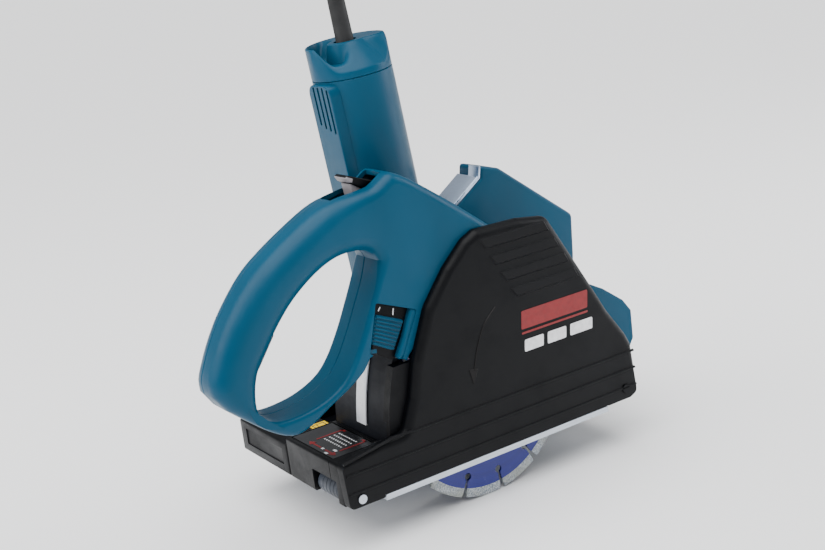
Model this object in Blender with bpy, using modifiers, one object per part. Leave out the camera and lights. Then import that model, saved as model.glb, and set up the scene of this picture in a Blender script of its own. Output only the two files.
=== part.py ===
"""Wall chaser: a plunging twin-disc groove cutter on a roller base. Metres, +Z up.

Sizes below are in millimetres in the base's own coordinates: X runs along the base from its rear
(handle) end, Y across it from the side cover's outer face to the motor side, and Z up from the sole.
ORIGIN moves the whole object so that the world origin lies on the sole, beside the disc slot.
"""

from math import atan, atan2, ceil, cos, hypot, pi, radians, sin

import bmesh
import bpy
from mathutils import Matrix, Vector

MM = 0.001
GAP = 0.3

# Driving dimensions
ORIGIN = Vector((129.0, 105.0, -1.5))
BASE_LENGTH, BASE_WIDTH, BASE_HEIGHT = 269.0, 167.0, 27.0
PLATE_TOP = 9.0
DISC_AXIS = (129.0, 40.0)
DISC_RADIUS = 75.0
DISC_THICK = 2.4
PIVOT = (255.0, 20.0)
SPINDLE_R = 11.0
MOTOR_Y = 97.0
MOTOR_TILT = atan(0.0956)
SHELL_NEAR, SHELL_FAR = 8.4, 56.0
HANDLE_DROP = 8.0
SEAM = 32.0
WALL = 3.0
CORD_R = 4.15
FLOOR_Z = DISC_AXIS[1] - DISC_RADIUS
CROWN_TEETH, PINION_TEETH = 37, 12

COLOURS = {
    "teal": ((0.010, 0.110, 0.200), 0.42, 0.0),
    "black": ((0.011, 0.013, 0.018), 0.50, 0.0),
    "grey": ((0.060, 0.065, 0.075), 0.55, 0.0),
    "rubber": ((0.012, 0.012, 0.013), 0.75, 0.0),
    "steel": ((0.55, 0.57, 0.60), 0.30, 1.0),
    "alloy": ((0.62, 0.64, 0.66), 0.40, 1.0),
    "cast": ((0.25, 0.26, 0.27), 0.55, 0.8),
    "blade": ((0.035, 0.045, 0.24), 0.35, 0.6),
    "copper": ((0.60, 0.25, 0.10), 0.35, 1.0),
    "label": ((0.02, 0.02, 0.022), 0.40, 0.0),
    "scale": ((0.75, 0.77, 0.80), 0.35, 0.3),
}


def clear_scene():
    for obj in list(bpy.data.objects):
        bpy.data.objects.remove(obj, do_unlink=True)
    for name in ("wall_chaser", "cutters"):
        collection = bpy.data.collections.new(name)
        bpy.context.scene.collection.children.link(collection)


def material(colour, name):
    rgb, roughness, metallic = COLOURS[colour]
    made = bpy.data.materials.new(name + "_" + colour)
    made.use_nodes = True
    shader = made.node_tree.nodes["Principled BSDF"]
    shader.inputs["Base Color"].default_value = (*rgb, 1.0)
    shader.inputs["Roughness"].default_value = roughness
    shader.inputs["Metallic"].default_value = metallic
    return made


# ---- Shapes in base coordinates, each a mesh in metres ----


def realise(obj):
    """The object's evaluated mesh in base coordinates, with the object itself taken away."""
    graph = bpy.context.evaluated_depsgraph_get()
    mesh = bpy.data.meshes.new_from_object(obj.evaluated_get(graph))
    mesh.transform(obj.matrix_world)
    bpy.data.objects.remove(obj, do_unlink=True)
    bm = bmesh.new()
    bm.from_mesh(mesh)
    bmesh.ops.remove_doubles(bm, verts=bm.verts, dist=1e-6)
    bmesh.ops.recalc_face_normals(bm, faces=bm.faces)
    bm.to_mesh(mesh)
    bm.free()
    mesh.materials.clear()
    return mesh


def scene_object(name, data):
    obj = bpy.data.objects.new(name, data)
    bpy.context.scene.collection.objects.link(obj)
    return obj


def settle(obj):
    bpy.context.view_layer.update()
    return realise(obj)


def box(low, high):
    bm = bmesh.new()
    bmesh.ops.create_cube(bm, size=1)
    low, high = Vector(low) * MM, Vector(high) * MM
    for vert in bm.verts:
        vert.co = Vector(((vert.co[i] + 0.5) * (high[i] - low[i]) + low[i] for i in range(3)))
    mesh = bpy.data.meshes.new("box")
    bm.to_mesh(mesh)
    bm.free()
    return mesh


def rod(start, end, radius, sides=24, end_radius=None):
    """A cylinder or cone between two points."""
    start, end = Vector(start) * MM, Vector(end) * MM
    bm = bmesh.new()
    turn = (end - start).to_track_quat("Z", "Y").to_matrix().to_4x4()
    bmesh.ops.create_cone(
        bm,
        cap_ends=True,
        segments=sides,
        radius1=radius * MM,
        radius2=(radius if end_radius is None else end_radius) * MM,
        depth=(end - start).length,
        matrix=Matrix.Translation((start + end) / 2) @ turn,
    )
    mesh = bpy.data.meshes.new("rod")
    bm.to_mesh(mesh)
    bm.free()
    return mesh


def turned(profile, start, direction, steps=32):
    """A closed profile of (radius, height) turned about the line from start along direction."""
    mesh = bpy.data.meshes.new("profile")
    count = len(profile)
    points = [(r * MM, 0, h * MM) for r, h in profile]
    mesh.from_pydata(points, [(i, (i + 1) % count) for i in range(count)], [])
    obj = scene_object("profile", mesh)
    screw = obj.modifiers.new("turn", "SCREW")
    screw.steps = screw.render_steps = steps
    screw.use_merge_vertices = True
    screw.merge_threshold = 0.00001
    obj.location = Vector(start) * MM
    obj.rotation_euler = Vector(direction).to_track_quat("Z", "Y").to_euler()
    return settle(obj)


def plate(loops, y_low, y_high):
    """Flat outlines of (x, z) points, the later ones holes, extruded across the base."""
    curve = bpy.data.curves.new("outline", "CURVE")
    curve.dimensions = "2D"
    curve.fill_mode = "BOTH"
    curve.extrude = (y_high - y_low) / 2 * MM
    for loop in loops:
        spline = curve.splines.new("POLY")
        spline.points.add(len(loop) - 1)
        for point, (x, z) in zip(spline.points, loop):
            point.co = (x * MM, z * MM, 0, 1)
        spline.use_cyclic_u = True
    obj = scene_object("outline", curve)
    obj.location = (0, (y_low + y_high) / 2 * MM, 0)
    obj.rotation_euler = (pi / 2, 0, 0)
    return settle(obj)


def tube(points, radius, resolution=2):
    curve = bpy.data.curves.new("path", "CURVE")
    curve.dimensions = "3D"
    curve.bevel_depth = radius * MM
    curve.bevel_resolution = resolution
    curve.use_fill_caps = True
    spline = curve.splines.new("POLY")
    spline.points.add(len(points) - 1)
    for point, place in zip(spline.points, points):
        point.co = (*(Vector(place) * MM), 1)
    return settle(scene_object("path", curve))


def arc(centre, radius, start, end, count):
    """Points on a circle in the XZ plane, from one angle in degrees to another."""
    step = (end - start) / (count - 1)
    angles = [radians(start + step * i) for i in range(count)]
    return [(centre[0] + radius * cos(a), centre[1] + radius * sin(a)) for a in angles]


def smooth(controls, spacing):
    """Points along a Catmull-Rom curve through open controls, which may carry extra values."""
    controls = [Vector(c) for c in controls]
    ends = [2 * controls[0] - controls[1]] + controls + [2 * controls[-1] - controls[-2]]
    points = []
    for before, a, b, after in zip(ends, ends[1:], ends[2:], ends[3:]):
        count = max(1, ceil((b - a).length / spacing))
        for i in range(count):
            t = i / count
            points.append(
                0.5
                * (
                    2 * a
                    + (b - before) * t
                    + (2 * before - 5 * a + 4 * b - after) * t * t
                    + (3 * a - before - 3 * b + after) * t**3
                )
            )
    return points + [controls[-1]]


def inset(loop, distances):
    """The loop moved towards its left-hand side, each point by its own distance."""
    moved = []
    for i, point in enumerate(loop):
        before, after = loop[i - 1], loop[(i + 1) % len(loop)]
        first = Vector((point[0] - before[0], point[1] - before[1])).normalized()
        second = Vector((after[0] - point[0], after[1] - point[1])).normalized()
        normal = Vector((-first.y - second.y, first.x + second.x))
        normal /= max(0.6, 1 + first.dot(second))
        moved.append((point[0] + normal.x * distances[i], point[1] + normal.y * distances[i]))
    return moved


def face_drop(x, drop):
    """How much further in the outer face lies at x: the handle is thinner than the body."""
    t = min(max((110 - x) / 65, 0), 1)
    return drop * t * t * (3 - 2 * t)


def shell_rings(loop, face, back, wall, steps, drop):
    """The rings of one outline, from its rounded edge at the face to the back, shrunk by wall."""
    into = 1 if back > face else -1
    places = [(p[0], p[1]) for p in loop]
    radii = [max(p[2] - wall, 0.8) for p in loop]
    rings = []
    for step in range(steps + 1):
        angle = pi / 2 * step / steps
        moved = inset(places, [wall + r * (1 - sin(angle)) for r in radii])
        depths = [
            face + into * (wall + r * (1 - cos(angle)) + face_drop(p[0], drop))
            for p, r in zip(places, radii)
        ]
        rings.append([(x, y, z) for (x, z), y in zip(moved, depths)])
    moved = inset(places, [wall] * len(places))
    rings.append([(x, back, z) for x, z in moved])
    return rings


def half_shell(loops, face, back, drop, wall=WALL, steps=2):
    """Half of a hollow moulding, open at its back.

    Each outline holds (x, z, edge radius) and keeps its material on its left-hand side. The rings
    run from the outer face down to the back, then up the inside of the wall.
    """
    bm = bmesh.new()
    ends = []
    for loop in loops:
        outside = shell_rings(loop, face, back, 0.0, steps, drop)
        inside = shell_rings(loop, face, back, wall, steps, drop)
        rings = [[bm.verts.new(Vector(p) * MM) for p in ring] for ring in outside + inside[::-1]]
        for lower, upper in zip(rings, rings[1:]):
            for i in range(len(lower)):
                bm.faces.new((lower[i - 1], lower[i], upper[i], upper[i - 1]))
        ends.append((rings[0], rings[-1]))
    for side in (0, 1):
        edges = [
            bm.edges.get((ring[side][i - 1], ring[side][i]))
            for ring in ends
            for i in range(len(ring[side]))
        ]
        bmesh.ops.triangle_fill(bm, use_beauty=True, edges=edges)
    bmesh.ops.recalc_face_normals(bm, faces=bm.faces)
    mesh = bpy.data.meshes.new("shell")
    bm.to_mesh(mesh)
    bm.free()
    return mesh


# ---- Nodes, cutters and the bodies that they belong to ----

BODIES = {}


def body(name, place, parent=None):
    """An empty on the body's joint axis."""
    empty = bpy.data.objects.new("axis_" + name, None)
    empty.empty_display_size = 0.02
    bpy.data.collections["wall_chaser"].objects.link(empty)
    place = Vector(place) * MM
    BODIES[name] = (empty, place)
    if parent:
        empty.parent = BODIES[parent][0]
        empty.location = place - BODIES[parent][1]
    else:
        empty.location = place - ORIGIN * MM


def node(name, owner, mesh, colour, smooth_angle=35):
    """A sub-part: its mesh is stored about its body's axis."""
    empty, place = BODIES[owner]
    mesh.transform(Matrix.Translation(-place))
    mesh.name = name
    obj = bpy.data.objects.new(name, mesh)
    obj.parent = empty
    bpy.data.collections["wall_chaser"].objects.link(obj)
    mesh.materials.append(material(colour, name))
    mesh.shade_smooth()
    mesh.set_sharp_from_angle(angle=radians(smooth_angle))
    return obj


def combine(obj, mesh, operation):
    """Cuts the mesh from the sub-part or joins it on, with a hidden helper."""
    place = Vector(BODIES["base"][1])
    mesh.transform(Matrix.Translation(-place))
    helper = bpy.data.objects.new(obj.name + "_helper", mesh)
    helper.parent = BODIES["base"][0]
    helper.hide_render = True
    helper.display_type = "WIRE"
    bpy.data.collections["cutters"].objects.link(helper)
    modifier = obj.modifiers.new(operation.lower(), "BOOLEAN")
    modifier.operation = operation
    modifier.object = helper


def cut(obj, *meshes):
    for mesh in meshes:
        combine(obj, mesh, "DIFFERENCE")


def join(obj, *meshes):
    for mesh in meshes:
        combine(obj, mesh, "UNION")


def across(x, z, y_low, y_high, radius, sides=24, end_radius=None):
    """A rod along Y."""
    return rod((x, y_low, z), (x, y_high, z), radius, sides, end_radius)


def motor_point(distance, side=0.0, y=0.0):
    """A point on the motor axis, distance up from the spindle, then across it and along Y."""
    return (
        DISC_AXIS[0] - distance * sin(MOTOR_TILT) + side * cos(MOTOR_TILT),
        MOTOR_Y + y,
        DISC_AXIS[1] + distance * cos(MOTOR_TILT) + side * sin(MOTOR_TILT),
    )


MOTOR_DIRECTION = Vector(motor_point(1)) - Vector(motor_point(0))


def along_motor(profile, steps=24):
    return turned(profile, motor_point(0), MOTOR_DIRECTION, steps)


def ring(inner, outer, low, high):
    """The profile of a plain ring, its outer side run from top to bottom."""
    return [(outer, high), (outer, low), (inner, low), (inner, high)]


def motor_box(side_low, side_high, y_low, y_high, low, high):
    """A box aligned with the motor axis."""
    mesh = box((side_low, y_low, low), (side_high, y_high, high))
    turn = Matrix.Rotation(-MOTOR_TILT, 4, "Y")
    mesh.transform(Matrix.Translation(Vector(motor_point(0)) * MM) @ turn)
    return mesh


# ---- Base and guard ----

COVER = (
    [(0, 1), (-2, 34)]
    + [(30, 41), (52, 40), (62, 65), (68, 90), (74, 106), (84, 126), (96, 142), (112, 158)]
    + [(122, 166), (133, 171), (172, 170), (190, 168), (198, 164), (204, 156)]
    + [(234, 104), (248, 79), (264, 56), (269, 48), (269, 6), (264, 3)]
    + [(239, 3), (239, 3.2), (29, 3.2), (29, 1)]
)
COVER_DEPTH = 8.0
SLOT = (46.0, 218.0, 8.2, 62.0)
ROLLER_R = 9.0
REAR_ROLLER_X, FRONT_ROLLER_X = 11.0, 241.0
ROLLER_Z = 7.0
ROLLERS = {
    "rear_near": (REAR_ROLLER_X, 17.0, 50.0),
    "rear_far": (REAR_ROLLER_X, 130.0, 163.0),
    "front_near": (FRONT_ROLLER_X, 72.0, 104.0),
    "front_far": (FRONT_ROLLER_X, 130.0, 163.0),
}
ARC_INNER, ARC_OUTER = 203.0, 208.5
STRIP_SIDES = (45.0, 58.0)


def base_and_cover():
    bed = box((0, 8.3, 0.8), (BASE_LENGTH, BASE_WIDTH, PLATE_TOP))
    frame = node("base_frame", "base", bed, "black")
    join(frame, box((0.01, 8.31, 1), (44, 88, 32)))
    join(frame, box((0.02, 87, 1.1), (44.01, BASE_WIDTH - 0.01, BASE_HEIGHT)))
    join(frame, box((43, 152, 1.2), (268, BASE_WIDTH - 0.02, 22)))
    join(frame, box((224, 66, 1.3), (268.5, 153, 21)))
    join(frame, box((247, 8.32, 1.4), (263, 16, 32)), box((247, 60, 1.5), (263, 67, 32)))
    cut(frame, box((SLOT[0], SLOT[2] - 1, -1), (SLOT[1], SLOT[3], 12)))
    for x, low, high in ROLLERS.values():
        cut(frame, box((x - 12 if x > 50 else -1, low - 0.8, -1), (x + 12, high + 0.8, 18.6)))
    cut(frame, across(REAR_ROLLER_X, ROLLER_Z, 12, 166, 3.0 + GAP, 12))
    cut(frame, across(FRONT_ROLLER_X, ROLLER_Z, 68, 166, 3.0 + GAP, 12))
    cut(frame, across(*PIVOT, 7, 66, 4.0 + GAP, 20))
    cut(frame, box((4, 24, 30.5), (40, 86, 40)))
    for x in (58, 102, 146, 190):
        cut(frame, box((x, 70, 3.5), (x + 36, 146, 12)))

    sole = node("sole_plate", "base", box((30, 0.6, -1.5), (238, 160, 0.5)), "alloy")
    join(sole, box((30.01, 0.61, -1.4), (237.99, 2.0, 2.8)))
    cut(sole, box((SLOT[0], 6, -3), (SLOT[1], SLOT[3], 3)))
    cut(sole, box((FRONT_ROLLER_X - 12, 71, -3), (240, 161, 3)))

    cover = node("side_cover", "base", plate([COVER], 0, COVER_DEPTH), "black")
    cut(cover, plate([inset(COVER, [-3.0] * len(COVER))], 3, COVER_DEPTH + 1))
    join(cover, box((44.5, 2.9, 6), (50, 7.9, 38)))
    cut(cover, across(10, 7, -1, 4, 2.1, 14), across(257, 12, -1, 4, 2.1, 14))
    for i in range(4):
        low, left, right = 156 - 14 * i, 138 + 7.6 * i, 198 + 8 * i
        bar = [(left, low), (left - 5, low + 8), (right - 8, low + 8), (right - 4, low)]
        join(cover, plate([bar], -1.2, 1))
    for name, x, z in (("rear", 10, 7), ("front", 257, 12)):
        screw = node("cover_screw_" + name, "base", across(x, z, -1.0, -GAP, 3.4, 16), "steel")
        join(screw, across(x, z, -0.8, 7.0, 1.7, 12))


def guard():
    """The guard wall is an arc about the plunge pivot, so the rising machine slides along it."""
    outer = arc(PIVOT, ARC_OUTER, 178, 160.4, 8)
    inner = arc(PIVOT, ARC_INNER, 160.4, 178, 8)
    wall = node("guard_rear_wall", "base", plate([outer + inner], 17, 92), "grey")
    outer = arc(PIVOT, ARC_OUTER - 0.01, 163, 142, 8)
    inner = arc(PIVOT, ARC_INNER + 0.01, 142, 163, 8)
    join(wall, plate([outer + inner], 17.01, 44.4))
    cut(wall, box((30, 86, 60), (90, 95, 130)), box((30, 10, 0), (80, 100, PLATE_TOP + 0.4)))
    cut(wall, box((30, 10, 0), (44.4, 100, 32.4)))
    corner = arc(PIVOT, 212.5, 161, 172, 5) + [(50.5, 44), (56.8, 66), (64, 89.5)]
    block = node("guard_rear_block", "base", plate([corner], 8.5, 16.6), "black")
    side = arc(PIVOT, 212.4, 161.1, 176, 7) + [(56, 34.2), (58, 44), (67, 66), (72, 89.4)]
    join(block, plate([side], 8.51, 12.7))
    strip = arc(PIVOT, 210.0, 175, 160.2, 8) + arc(PIVOT, 209.0, 160.2, 175, 8)
    scale = node("depth_scale_strip", "base", plate([strip], *STRIP_SIDES), "scale")
    angle = radians(161.9)
    middle = sum(STRIP_SIDES) / 2
    at = Vector((PIVOT[0] + 209.5 * cos(angle), middle, PIVOT[1] + 209.5 * sin(angle)))
    out = Vector((cos(angle), 0, sin(angle)))
    cut(scale, rod(at - out * 2, at + out * 2, 1.6, 12))
    cut(wall, rod(at - out * 8, at, 1.6, 12))
    head = rod(at + out * 0.8, at + out * 2.4, 3.2, 14)
    screw = node("depth_stop_screw", "base", head, "black")
    join(screw, rod(at - out * 5, at + out * 1.5, 1.3, 10))
    node("label_plate", "base", box((5, 25, 30.8), (39, 85, 31.9)), "label")


def rollers_and_pins():
    node("rear_roller_axle", "base", across(REAR_ROLLER_X, ROLLER_Z, 14, 165, 3.0, 16), "steel")
    node("front_roller_axle", "base", across(FRONT_ROLLER_X, ROLLER_Z, 69, 165, 3.0, 16), "steel")
    node("pivot_pin", "base", across(*PIVOT, 8.6, 65.8, 4.0, 20), "steel")
    for name, (x, low, high) in ROLLERS.items():
        profile = [(ROLLER_R, high - 1), (ROLLER_R, low + 1), (ROLLER_R - 1, low), (3.0 + GAP, low)]
        profile += [(3.0 + GAP, high), (ROLLER_R - 1, high)]
        node("roller_" + name, "roller_" + name, turned(profile, (x, 0, ROLLER_Z), (0, 1, 0), 20), "rubber")
    turns = 4
    points = []
    for i in range(turns * 12 + 1):
        a = 2 * pi * i / 12
        points.append((PIVOT[0] + 9.2 * cos(a), 53.6 + 1.2 * i / 12, PIVOT[1] + 9.2 * sin(a)))
    node("return_spring", "base", tube(points, 0.5, 1), "steel")


# ---- Machine shells ----

OUTER = (
    [(-78.5, 106, 12), (-79, 114, 14), (-76, 123, 15), (-68, 139, 15), (-56, 157, 15), (-38, 177, 15)]
    + [(-20, 190, 15), (1, 202, 15), (19, 210.5, 14), (33, 214, 12), (48, 215.5, 9), (60, 217, 8)]
    + [(68, 221.5, 8), (75, 224.5, 8), (86, 219.5, 7), (102, 208.5, 7), (124, 192, 7), (150, 171, 6)]
    + [(172, 152, 5)]
)
NOSE = (
    [(205, 122, 4), (232, 104, 3), (262, 91, 3), (280, 81, 3), (300, 66, 3), (308, 55, 3), (308, 31, 3)]
    + [(300, 19, 2), (276, 18, 1), (272, 38, 1), (238, 38, 1), (212, 47, 1)]
)
NOSE_CUT = [(236, 103), (246, 84), (262, 58), (267, 50), (267, -5), (330, -5), (330, 122), (236, 122)]
NOSE_NEAR = 44.0
NOSE_WEB = [(240, 99.5), (262, 90.2), (280, 80.2), (299.3, 65.3), (307, 54.5), (307, 31.5), (299.8, 19.8)]
NOSE_WEB += [(277, 19), (273.5, 36), (269, 44), (268.6, 56.5), (262, 60), (246, 86)]
CLEAR = 81.0
ARM = (
    [(62, 93.5, 1.5), (41, 102.5, 1.5), (32, 93, 3), (20, 84.5, 4), (1, 75, 4), (-13, 67.5, 4)]
    + [(-25, 64, 4.5), (-34, 66, 5), (-45, 72.5, 6), (-59, 84, 8), (-71, 94.5, 10)]
)
HAND = (
    [(57, 166, 7), (52, 152, 4), (44, 136, 4), (33.5, 116, 4), (22, 98, 3.5), (10, 87, 3.5), (-9, 79.5, 3.5)]
    + [(-30, 77, 3.5), (-43, 79.5, 5), (-50, 87.5, 7), (-49.5, 99, 10), (-44.5, 113, 13)]
    + [(-35, 126, 14), (-24, 140.5, 14), (-9.5, 155, 14), (9, 168, 13), (26, 175, 12), (43, 176, 11)]
    + [(53, 172.5, 10)]
)
GRIP_LOW, GRIP_HIGH = Vector((-44.5, 113)), Vector((-24, 140.5))
GRIP_ALONG = (GRIP_HIGH - GRIP_LOW).normalized()
GRIP_OUT = Vector((GRIP_ALONG.y, -GRIP_ALONG.x))


def shell_outline(spacing):
    """The machine's side outline, anticlockwise in (x, z), so its material is on the left."""
    clearance = [(x, z, 1.0) for x, z in arc(DISC_AXIS, CLEAR, 4, 141, 18)]
    loop = smooth(OUTER, spacing) + [Vector(p) for p in NOSE + clearance] + smooth(ARM, spacing)
    return [tuple(p) for p in reversed(loop)]


def hand_outline(spacing):
    """The hand opening, clockwise, so its material is on the left."""
    loop = smooth(HAND + HAND[:1], spacing)[:-1]
    return [tuple(p) for p in reversed(loop)] if turns_left(loop) else [tuple(p) for p in loop]


def turns_left(loop):
    area = sum(a[0] * b[1] - b[0] * a[1] for a, b in zip(loop, list(loop[1:]) + list(loop[:1])))
    return area > 0


def grip_point(along, out):
    place = GRIP_LOW + GRIP_ALONG * along + GRIP_OUT * out
    return (place.x, place.y)


def grip_plate(low, high, inner, outer, y_low, y_high):
    corners = ((low, inner), (high, inner), (high, outer), (low, outer))
    return plate([[grip_point(*corner) for corner in corners]], y_low, y_high)


def machine_shells():
    loops = [shell_outline(13.0), hand_outline(13.0)]
    if not turns_left(loops[0]):
        loops[0].reverse()
    sides = (
        ("handle_near_shell", SHELL_NEAR, SEAM - GAP / 2, 0.0),
        ("handle_far_shell", SHELL_FAR, SEAM + GAP / 2, HANDLE_DROP),
    )
    for name, face, seam, drop in sides:
        into = 1 if seam > face else -1
        shell = node(name, "machine", half_shell(loops, face, seam, drop), "teal")
        for start, end, less in ((0, 100, 0), (96, 150, drop)):
            low, high = sorted((face + into * (WALL + 0.07 + less), seam + into * 4))
            outer, inner = CLEAR + 9, CLEAR - 9
            band = arc(DISC_AXIS, outer, start, end, 12) + arc(DISC_AXIS, inner, end, start, 12)
            cut(shell, plate([band], low, high))
        cut(shell, plate([[(44, 90), (70, 80), (72, 106), (46, 112)]], low, high))
        low, high = sorted((face + into * (WALL + 0.07), seam + into * 4))
        cut(shell, plate([[(241, 30), (273.5, 30), (273.5, 44), (241, 44)]], low, high))
        low, high = sorted((seam + into * 2, SEAM - into * 10))
        cut(shell, plate([[(20, 196), (74, 196), (74, 232), (20, 232)]], low, high))
        cut(shell, grip_plate(-4, 38, -11, 6, low, high))
    near = bpy.data.objects["handle_near_shell"]
    far = bpy.data.objects["handle_far_shell"]
    # The nose reaches past the cover only on the far side.
    cut(near, plate([NOSE_CUT], 0, NOSE_NEAR))
    cut(far, plate([NOSE_CUT], 0, NOSE_NEAR))
    join(far, plate([NOSE_WEB], NOSE_NEAR + 0.05, NOSE_NEAR + 2.5))
    cut(near, plate([[(47, 138.3), (79, 126), (61, 92), (37, 104)]], 0, 12.7))
    for i, (x, z) in enumerate(((-64, 119), (31, 196), (98, 196)), 1):
        face = SHELL_FAR - face_drop(x, HANDLE_DROP)
        join(far, across(x, z, SEAM + GAP, face - 0.6, 4.5, 14))
        cut(far, across(x, z, SEAM, face - 3, 1.9, 12), across(x, z, face - 4, face + 1, 3.3, 12))
        if i < 3:
            head = across(x, z, face - 3.4, face - 0.6, 3.0, 12)
            screw = node(f"handle_screw_{i}", "machine", head, "steel")
            join(screw, across(x, z, SEAM + 1, face - 3, 1.5, 10))


def hinge_block():
    block = node("front_hinge_block", "machine", box((244, 17.0, 13.5), (268, 51.5, 36)), "cast")
    join(block, box((244.01, 17.01, 35), (267.99, 51.49, 55)))
    cut(block, across(*PIVOT, 10, 60, 4.05 + GAP, 20))


HOOD_BELOW = [(267, 145), (265, 112), (258, 60), (243, 46), (206, 46), (170, 64), (159, 100), (158, 140)]
HOOD = [(148, 168), (158, 177.5), (182, 193.2), (183.5, 202), (200, 197)] + HOOD_BELOW
HOOD_FAR = [(150, 163.3), (175, 172), (180, 181), (203, 194.4)] + HOOD_BELOW
STRAP = [(156.2, 176.4), (181.2, 193.1), (180.4, 194.4), (155.4, 177.7)]
STRAP_TAB = [(180.1, 192.6), (181.3, 193.2), (182.9, 202), (181.4, 202.3), (179.6, 193.6)]
OUTLET = (214.0, 98.0)


def shrunk(loop, distance):
    """The closed loop moved inwards, whichever way it turns."""
    return inset(loop, [distance if turns_left(loop) else -distance] * len(loop))


def hood():
    """The disc guard's far side; its upper rear corner is cut back beyond the metal strap."""
    shape = node("guard_hood", "machine", plate([HOOD], 57.2, 86.5), "teal")
    join(shape, plate([HOOD_FAR], 86, 104))
    cut(shape, plate([shrunk(HOOD, 3)], 60.2, 83.5), plate([shrunk(HOOD_FAR, 3.1)], 60.3, 101))
    cut(shape, across(*OUTLET, 98, 106, 17.5, 24))
    cut(shape, box((212, 62, 40), (240, 99, 52)))
    outlet = turned(ring(17.5, 20.5, 104.3, 136), (OUTLET[0], 0, OUTLET[1]), (0, 1, 0), 28)
    node("dust_outlet", "machine", outlet, "black")
    strap = node("hood_strap", "machine", plate([STRAP], 57.4, 86), "steel")
    join(strap, plate([STRAP_TAB], 57.41, 71))


# ---- Drive ----


def drive_casing():
    casing = node("gear_case", "machine", across(*DISC_AXIS, 66, 115, 28, 36), "cast")
    join(casing, rod(motor_point(8), motor_point(61.7), 27, 36))
    cut(casing, across(*DISC_AXIS, 60, 111, 25, 32))
    cut(casing, rod(motor_point(4), motor_point(64), 13.3, 28))
    cut(casing, across(DISC_AXIS[0] - 10, DISC_AXIS[1] - 12, 110, 116, 3.3, 14))
    flange = turned(ring(17.3, 28, 51.5, 65.7), (DISC_AXIS[0], 0, DISC_AXIS[1]), (0, 1, 0), 32)
    node("bearing_flange", "machine", flange, "cast")
    bearing = turned(ring(8.3, 17.0, 53, 63), (DISC_AXIS[0], 0, DISC_AXIS[1]), (0, 1, 0), 24)
    node("spindle_bearing", "machine", bearing, "steel")


def motor():
    housing = node("motor_housing", "machine", rod(motor_point(62), motor_point(247), 30.8, 40, 30.2), "teal")
    join(housing, motor_box(-32.6, -20, -19, 12, 62.01, 246.5))
    cut(housing, rod(motor_point(64), motor_point(249), 27.4, 36))
    cut(housing, rod(motor_point(60), motor_point(66), 20, 28))
    for i in range(4):
        y = -16 + 6.2 * i
        cut(housing, motor_box(-36, -20, y, y + 2.4, 208, 244))
    cap = [(27, 247.3), (27, 250.3), (8.4, 253), (8.4, 262), (12, 266), (23.5, 271)]
    cap += [(26.5, 262), (30.2, 249), (30, 247.3)]
    node("motor_end_cap", "machine", along_motor(cap, 24), "teal")
    bore = CORD_R + 0.5
    relief = [(8, 267), (8, 258), (7, 254), (bore, 254), (bore, 318.5), (5.4, 318.5), (6.1, 300)]
    node("cord_strain_relief", "machine", along_motor(relief, 16), "rubber")

    stator = turned(ring(19.5, 27.0, 92, 158), motor_point(0), MOTOR_DIRECTION, 28)
    node("stator", "machine", stator, "cast")
    for name, low, high in (("lower", 41, 50), ("upper", 228, 236)):
        outer = 13.0 if name == "lower" else 26.9
        ring_mesh = turned(ring(5.3, outer, low, high), motor_point(0), MOTOR_DIRECTION, 24)
        node("armature_bearing_" + name, "machine", ring_mesh, "steel")
    for name, side in (("near", -1), ("far", 1)):
        mesh = motor_box(-4, 4, *sorted((side * 17.5, side * 27)), 190, 202)
        node("brush_" + name, "machine", mesh, "copper")


def armature():
    node("armature_shaft", "armature", rod(motor_point(25), motor_point(238), 5.0, 16), "steel")
    core = turned(ring(5.0 + GAP, 18.8, 96, 154), motor_point(0), MOTOR_DIRECTION, 28)
    node("armature_core", "armature", core, "cast")
    fan = turned(ring(5.0 + GAP, 11, 72, 84), motor_point(0), MOTOR_DIRECTION, 20)
    fan = node("cooling_fan", "armature", fan, "black")
    for i in range(9):
        blade = box((10, -0.8, 72.5), (24, 0.8, 83.5))
        blade.transform(Matrix.Rotation(2 * pi * i / 9, 4, "Z"))
        blade.transform(MOTOR_FRAME)
        join(fan, blade)
    mesh = turned(ring(5.0 + GAP, 16.8, 182, 206), motor_point(0), MOTOR_DIRECTION, 24)
    node("commutator", "armature", mesh, "copper")
    pinion = node("drive_pinion", "armature", rod(motor_point(17.6), motor_point(24.6), 5.2, 24), "steel")
    for i in range(PINION_TEETH):
        tooth = box((4, -0.55, 17.7), (7.4, 0.55, 23))
        tooth.transform(Matrix.Rotation(2 * pi * i / PINION_TEETH - pi / 2, 4, "Z"))
        tooth.transform(MOTOR_FRAME)
        join(pinion, tooth)


MOTOR_FRAME = Matrix.Translation(Vector(motor_point(0)) * MM) @ Matrix.Rotation(-MOTOR_TILT, 4, "Y")


def disc(name, y, turn):
    """A steel core with key-hole slots, edged with segments."""
    centre = DISC_AXIS
    section = ring(SPINDLE_R + GAP, DISC_RADIUS, y, y + DISC_THICK)
    mesh = turned(section, (centre[0], 0, centre[1]), (0, 1, 0), 48)
    blade = node(name, "spindle", mesh, "blade")
    for i in range(13):
        a = 2 * pi * i / 13 + turn
        slot = box((DISC_RADIUS - 16, y - 1, -0.9), (DISC_RADIUS + 2, y + DISC_THICK + 1, 0.9))
        slot.transform(Matrix.Rotation(-a, 4, "Y"))
        slot.transform(Matrix.Translation((centre[0] * MM, 0, centre[1] * MM)))
        cut(blade, slot)


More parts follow.
